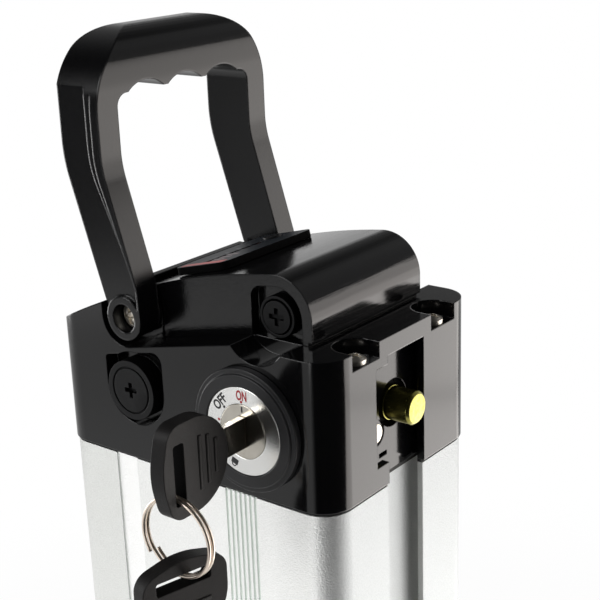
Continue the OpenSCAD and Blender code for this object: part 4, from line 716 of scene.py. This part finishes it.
# %% Turn the cross of the fuse cap
cross_turn, cross_r, cross_depth = math.radians(-18), 3.6 * MM, 1.7 * MM
cap_axis = Vector(joints["fuse_cap_turn"]["pos_m"])
cap_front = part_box("fuse_cap")[0][1]
turned = Matrix.Translation(cap_axis) @ Matrix.Rotation(cross_turn, 4, "Y") @ Matrix.Translation(-cap_axis)
moved = 0
for point in softened["fuse_cap"].data.vertices:
    out = point.co - cap_axis
    if math.hypot(out.x, out.z) < cross_r and point.co.y < cap_front + cross_depth:
        point.co = turned @ point.co
        moved += 1
print("cross turned:", moved, "points")

# %% [markdown]
# Both key bows get three plain ribs for the thumb. A rib is a bar with all its edges rounded, sunk a little into the
# moulding so that it grows out of it, and the ribs get longer where the bow gets wider. The same helper makes the
# ribs of both keys, each with its own matrix.

# %% Grip ribs on the key bows
rib_w, rib_h, rib_round, bow_face, bow_drop = 1.5, 0.7, 0.3, 2.5, 0.6
ribs = ((14.6, 5.2), (17.8, 7.4), (21.0, 8.2))

def grip_ribs(name, matrix, body):
    work = bmesh.new()
    for u, half in ribs:
        for side in (-1, 1):
            made = bmesh.ops.create_cube(work, size=1.0)["verts"]
            bmesh.ops.scale(work, verts=made, vec=(rib_w * MM, 2 * half * MM, rib_h * MM))
            bmesh.ops.translate(work, verts=made, vec=(u * MM, bow_drop * MM, side * bow_face * MM))
    bmesh.ops.bevel(work, geom=work.edges[:], offset=rib_round * MM, segments=3, profile=0.5, affect="EDGES")
    for face in work.faces:
        face.smooth = True
    work.transform(matrix)
    piece = place_object(name, finished_mesh(name, work, bow_black))
    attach(piece, body)

grip_ribs("key_ribs", key_frame, "key")
grip_ribs("spare_ribs", spare_frame, "spare_key")
print("ribs on both bows")

# %% [markdown]
# The room and the table need three more sums: a soft step between two values, a choice between two values, and how far
# a direction looks the same way as a given one, which is 1 when both agree and 0 when they stand square.

# %% Helpers: steps, choices and directions
def ramp(tree, source, start, end, low=0.0, high=1.0):
    made = new_node(tree, "ShaderNodeMapRange", interpolation_type="SMOOTHSTEP")
    for label, value in (("From Min", start), ("From Max", end), ("To Min", low), ("To Max", high)):
        made.inputs[label].default_value = value
    tree.links.new(source, made.inputs["Value"])
    return made.outputs["Result"]

def choose(tree, factor, first, second):
    made = new_node(tree, "ShaderNodeMix", data_type="FLOAT")
    for label, value in (("Factor", factor), ("A", first), ("B", second)):
        feed(tree, made.inputs[label], value)
    return made.outputs["Result"]

def looking(tree, direction, way):
    made = new_node(tree, "ShaderNodeVectorMath", operation="DOT_PRODUCT")
    made.inputs[1].default_value = way
    tree.links.new(direction, made.inputs[0])
    return made.outputs["Value"]

print("helpers for the room ready")

# %% [markdown]
# Glossy black looks black only where it mirrors something dark. So the room that mirrors see is dark, with one white
# backdrop low behind the pack, which fades upwards, and two dim fills, on the right and in front on the left, for the
# faces that look that way.

# %% World: what mirrors see
world = bpy.data.worlds.new("white_studio")
bpy.context.scene.world = world
world.use_nodes = True
room = world.node_tree
room.nodes.clear()
behind_pack, right_side, left_front = (-0.62, 0.785, 0.0), (0.38, 0.77, 0.51), (-0.367, -0.908, -0.20)
dark_room, soft_light = 0.004, 0.55
way_out = new_node(room, "ShaderNodeTexCoord").outputs["Generated"]
heights = new_node(room, "ShaderNodeSeparateXYZ")
room.links.new(way_out, heights.inputs["Vector"])
height = heights.outputs["Z"]
lower_white = combine(room, "MULTIPLY", ramp(room, height, 0.06, 0.34, 0.82, 0.14),
                      ramp(room, height, 0.34, 0.75, 1.0, 0.2))
backdrop = combine(room, "MULTIPLY", ramp(room, looking(room, way_out, behind_pack), 0.35, 0.80), lower_white)
dim_fills = combine(room, "ADD", ramp(room, looking(room, way_out, right_side), 0.80, 0.97, 0.0, 0.22),
                    ramp(room, looking(room, way_out, left_front), 0.915, 0.965, 0.0, 0.5))
mirrored = combine(room, "ADD", combine(room, "ADD", backdrop, dim_fills), dark_room)
print("mirrored room of", len(room.nodes), "nodes")

# %% [markdown]
# The world answers three questions differently, and a Light Path node says which one is asked: the camera sees plain
# white, everything matt gets an even soft light, and mirrors see the room of the last cell.

# %% World: camera, matt and mirror
ray = new_node(room, "ShaderNodeLightPath")
matt_or_mirror = choose(room, ray.outputs["Is Glossy Ray"], soft_light, mirrored)
direct = combine(room, "MAXIMUM", ray.outputs["Is Camera Ray"], ray.outputs["Is Transmission Ray"])
sky = new_node(room, "ShaderNodeBackground")
sky.inputs["Color"].default_value = (1, 1, 1, 1)
sky_out = new_node(room, "ShaderNodeOutputWorld")
room.links.new(choose(room, direct, matt_or_mirror, 1.0), sky.inputs["Strength"])
room.links.new(sky.outputs["Background"], sky_out.inputs["Surface"])
print("world", world.name)

# %% [markdown]
# The pack stands on a pale round table, a plain disc. Mirrors see it too: it glows on the far and left sides and close
# round the pack, fades to dark towards the camera's right, is brighter again in a ring near its rim, and ends before
# the rim itself. That is what shapes the greys on the black mouldings.

# %% Table: paint, and its glow in mirrors
table_white = bpy.data.materials.new("table_white")
table_white.use_nodes = True
top = table_white.node_tree
paint = top.nodes["Principled BSDF"]
paint.inputs["Base Color"].default_value = (0.9, 0.9, 0.9, 1)
paint.inputs["Roughness"].default_value = 0.7
lit_side = (-0.94, 0.342, 0.0)
spot = new_node(top, "ShaderNodeNewGeometry")
length = new_node(top, "ShaderNodeVectorMath", operation="LENGTH")
heading = new_node(top, "ShaderNodeVectorMath", operation="NORMALIZE")
for target in (length, heading):
    top.links.new(spot.outputs["Position"], target.inputs[0])
reach = length.outputs["Value"]
pool = combine(top, "MAXIMUM", ramp(top, looking(top, heading.outputs["Vector"], lit_side), -0.58, -0.34),
               ramp(top, reach, 0.30, 0.45, 1.0, 0.0))
rings = combine(top, "ADD", ramp(top, reach, 0.70, 0.88, 0.68, 0.58), ramp(top, reach, 1.06, 1.18, 0.0, 0.40))
evenness = combine(top, "MULTIPLY", rings, ramp(top, reach, 1.22, 1.34, 1.0, 0.0))
mirror_glow = combine(top, "MULTIPLY", pool, evenness)
print("table glow of", len(top.nodes), "nodes")

# %% [markdown]
# The camera should see a clean white background with only the pack's shadow on it. So for the camera the paint, which
# takes the shadow, is mixed with a plain white glow: mostly glow near the pack and nothing else further out. Mirrors
# get the glow of the last cell, and the light that bounces off the table comes from the paint.

# %% Table: mix for the camera, and the disc
look = new_node(top, "ShaderNodeLightPath")
camera_share = combine(top, "MULTIPLY", look.outputs["Is Camera Ray"], ramp(top, reach, 0.35, 0.6, 0.9, 1.0))
glow = new_node(top, "ShaderNodeEmission")
blend = new_node(top, "ShaderNodeMixShader")
top.links.new(choose(top, look.outputs["Is Camera Ray"], mirror_glow, 1.0), glow.inputs["Strength"])
top.links.new(combine(top, "MAXIMUM", camera_share, look.outputs["Is Glossy Ray"]), blend.inputs["Fac"])
top.links.new(paint.outputs["BSDF"], blend.inputs[1])
top.links.new(glow.outputs["Emission"], blend.inputs[2])
top.links.new(blend.outputs["Shader"], top.nodes["Material Output"].inputs["Surface"])
work = bmesh.new()
bmesh.ops.create_circle(work, cap_ends=True, segments=128, radius=1.4)
table = place_object("table_top", finished_mesh("table_top", work, table_white))
print("table", table.name)

# %% [markdown]
# The lamps are soft panels that the camera can't see. A panel's brightness is what a mirror sees of it, so the helper
# takes that and works out the watts from the panel's size. A panel that lies on the table needs no aim, because it
# looks straight up.

# %% Helpers: soft panels
def softbox(name, place, aim, size, brightness, tone=(1, 1, 1)):
    lamp = bpy.data.lights.new(name, "AREA")
    lamp.shape = "RECTANGLE"
    lamp.size, lamp.size_y = size
    lamp.energy = brightness * math.pi * size[0] * size[1]
    lamp.color = tone
    stand = place_object(name, lamp)
    stand.location = place
    stand.rotation_euler = (Vector(aim) - Vector(place)).to_track_quat("-Z", "Y").to_euler()
    stand.visible_camera = False
    return stand

def floor_panel(name, place, size, brightness, tone=(1, 1, 1), turn=0.0):
    stand = softbox(name, place, (0, 0, 1), size, brightness, tone)
    stand.rotation_euler = (math.pi, 0, turn)
    return stand

print("helpers for lamps ready")

# %% [markdown]
# What each lamp is for is easiest to say by what mirrors it. The rail face mirrors the cards low on the right, the
# nose of the hump and the arms mirror the card above them, the cap's corner mirrors the narrow strip in front, and
# the left card draws thin lines along the handle's edges. The key softbox lights the metal. The last five panels
# are for the sleeve: three on the table and two as wide as walls, all weak.

# %% Lamps
warm = (1.0, 0.95, 0.91)
softbox("key_softbox", (-0.7, -1.3, 1.3), (0, 0, 0.3), (1.0, 1.0), 4.5)
low_card = softbox("low_card", (0.56, 0.62, 0.165), (0, 0, 0.165), (0.70, 0.33), 2.9, warm)
upper_card = softbox("upper_card", (0.56, 0.62, 0.455), (0, 0, 0.455), (0.70, 0.25), 2.2, warm)
floor_card = floor_panel("floor_card", (0.33, 0.38, 0.004), (0.62, 0.62), 2.9, warm, math.atan2(0.62, 0.56))
left_card = softbox("left_card", (-1.125, -0.24, 0.22), (0, 0, 0.22), (0.50, 0.44), 4.0)
softbox("front_strip", (0.08, -1.02, 0.06), (0.04, 0, 0.33), (0.10, 0.5), 5.0)
table_bounce = floor_panel("table_bounce", (-0.3, 0.1, 0.006), (1.0, 1.0), 0.42)
side_bounce = floor_panel("side_bounce", (0.36, 0.30, 0.007), (0.52, 0.60), 0.80)
corner_strip = floor_panel("corner_strip", (-0.06, -0.36, 0.007), (0.24, 0.40), 0.45)
front_wall = softbox("front_wall", (-0.62, -0.80, 0.25), (0, 0, 0.25), (1.4, 0.5), 0.82)
side_wall = softbox("side_wall", (0.75, 0.70, 0.25), (0, 0, 0.25), (1.3, 0.5), 1.0)
print("lamps placed:", len(bpy.data.lights))

# %% [markdown]
# A card that is bright enough to draw a grey line on black plastic bleaches pale metal. Light linking solves that:
# each lamp may hold a collection of the pieces that it lights, or of those that it leaves out. The four strong cards
# leave out the sleeve, and the weak panels light the sleeve alone, or the sleeve with the small metals and screws.

# %% Link the lamps to their pieces
def link_lamp(lamp, pieces, state):
    lit = bpy.data.collections.new(lamp.name + "_pieces")
    for piece in pieces:
        lit.objects.link(piece)
    for entry in lit.collection_objects:
        entry.light_linking.link_state = state
    lamp.light_linking.receiver_collection = lit

sleeve = [nodes["sleeve"]]
screws = [nodes["cap_screws"], nodes["pivot_screws"]]
small_metals = [softened[node] for node in ("dial_ring", "lock_barrel", "key_blade", "spare_blade")] + [ring_piece]
for lamp in (low_card, upper_card, floor_card, left_card):
    link_lamp(lamp, sleeve, "EXCLUDE")
for lamp in (table_bounce, side_bounce, corner_strip):
    link_lamp(lamp, sleeve, "INCLUDE")
link_lamp(side_wall, sleeve + screws, "INCLUDE")
link_lamp(front_wall, sleeve + small_metals + screws, "INCLUDE")
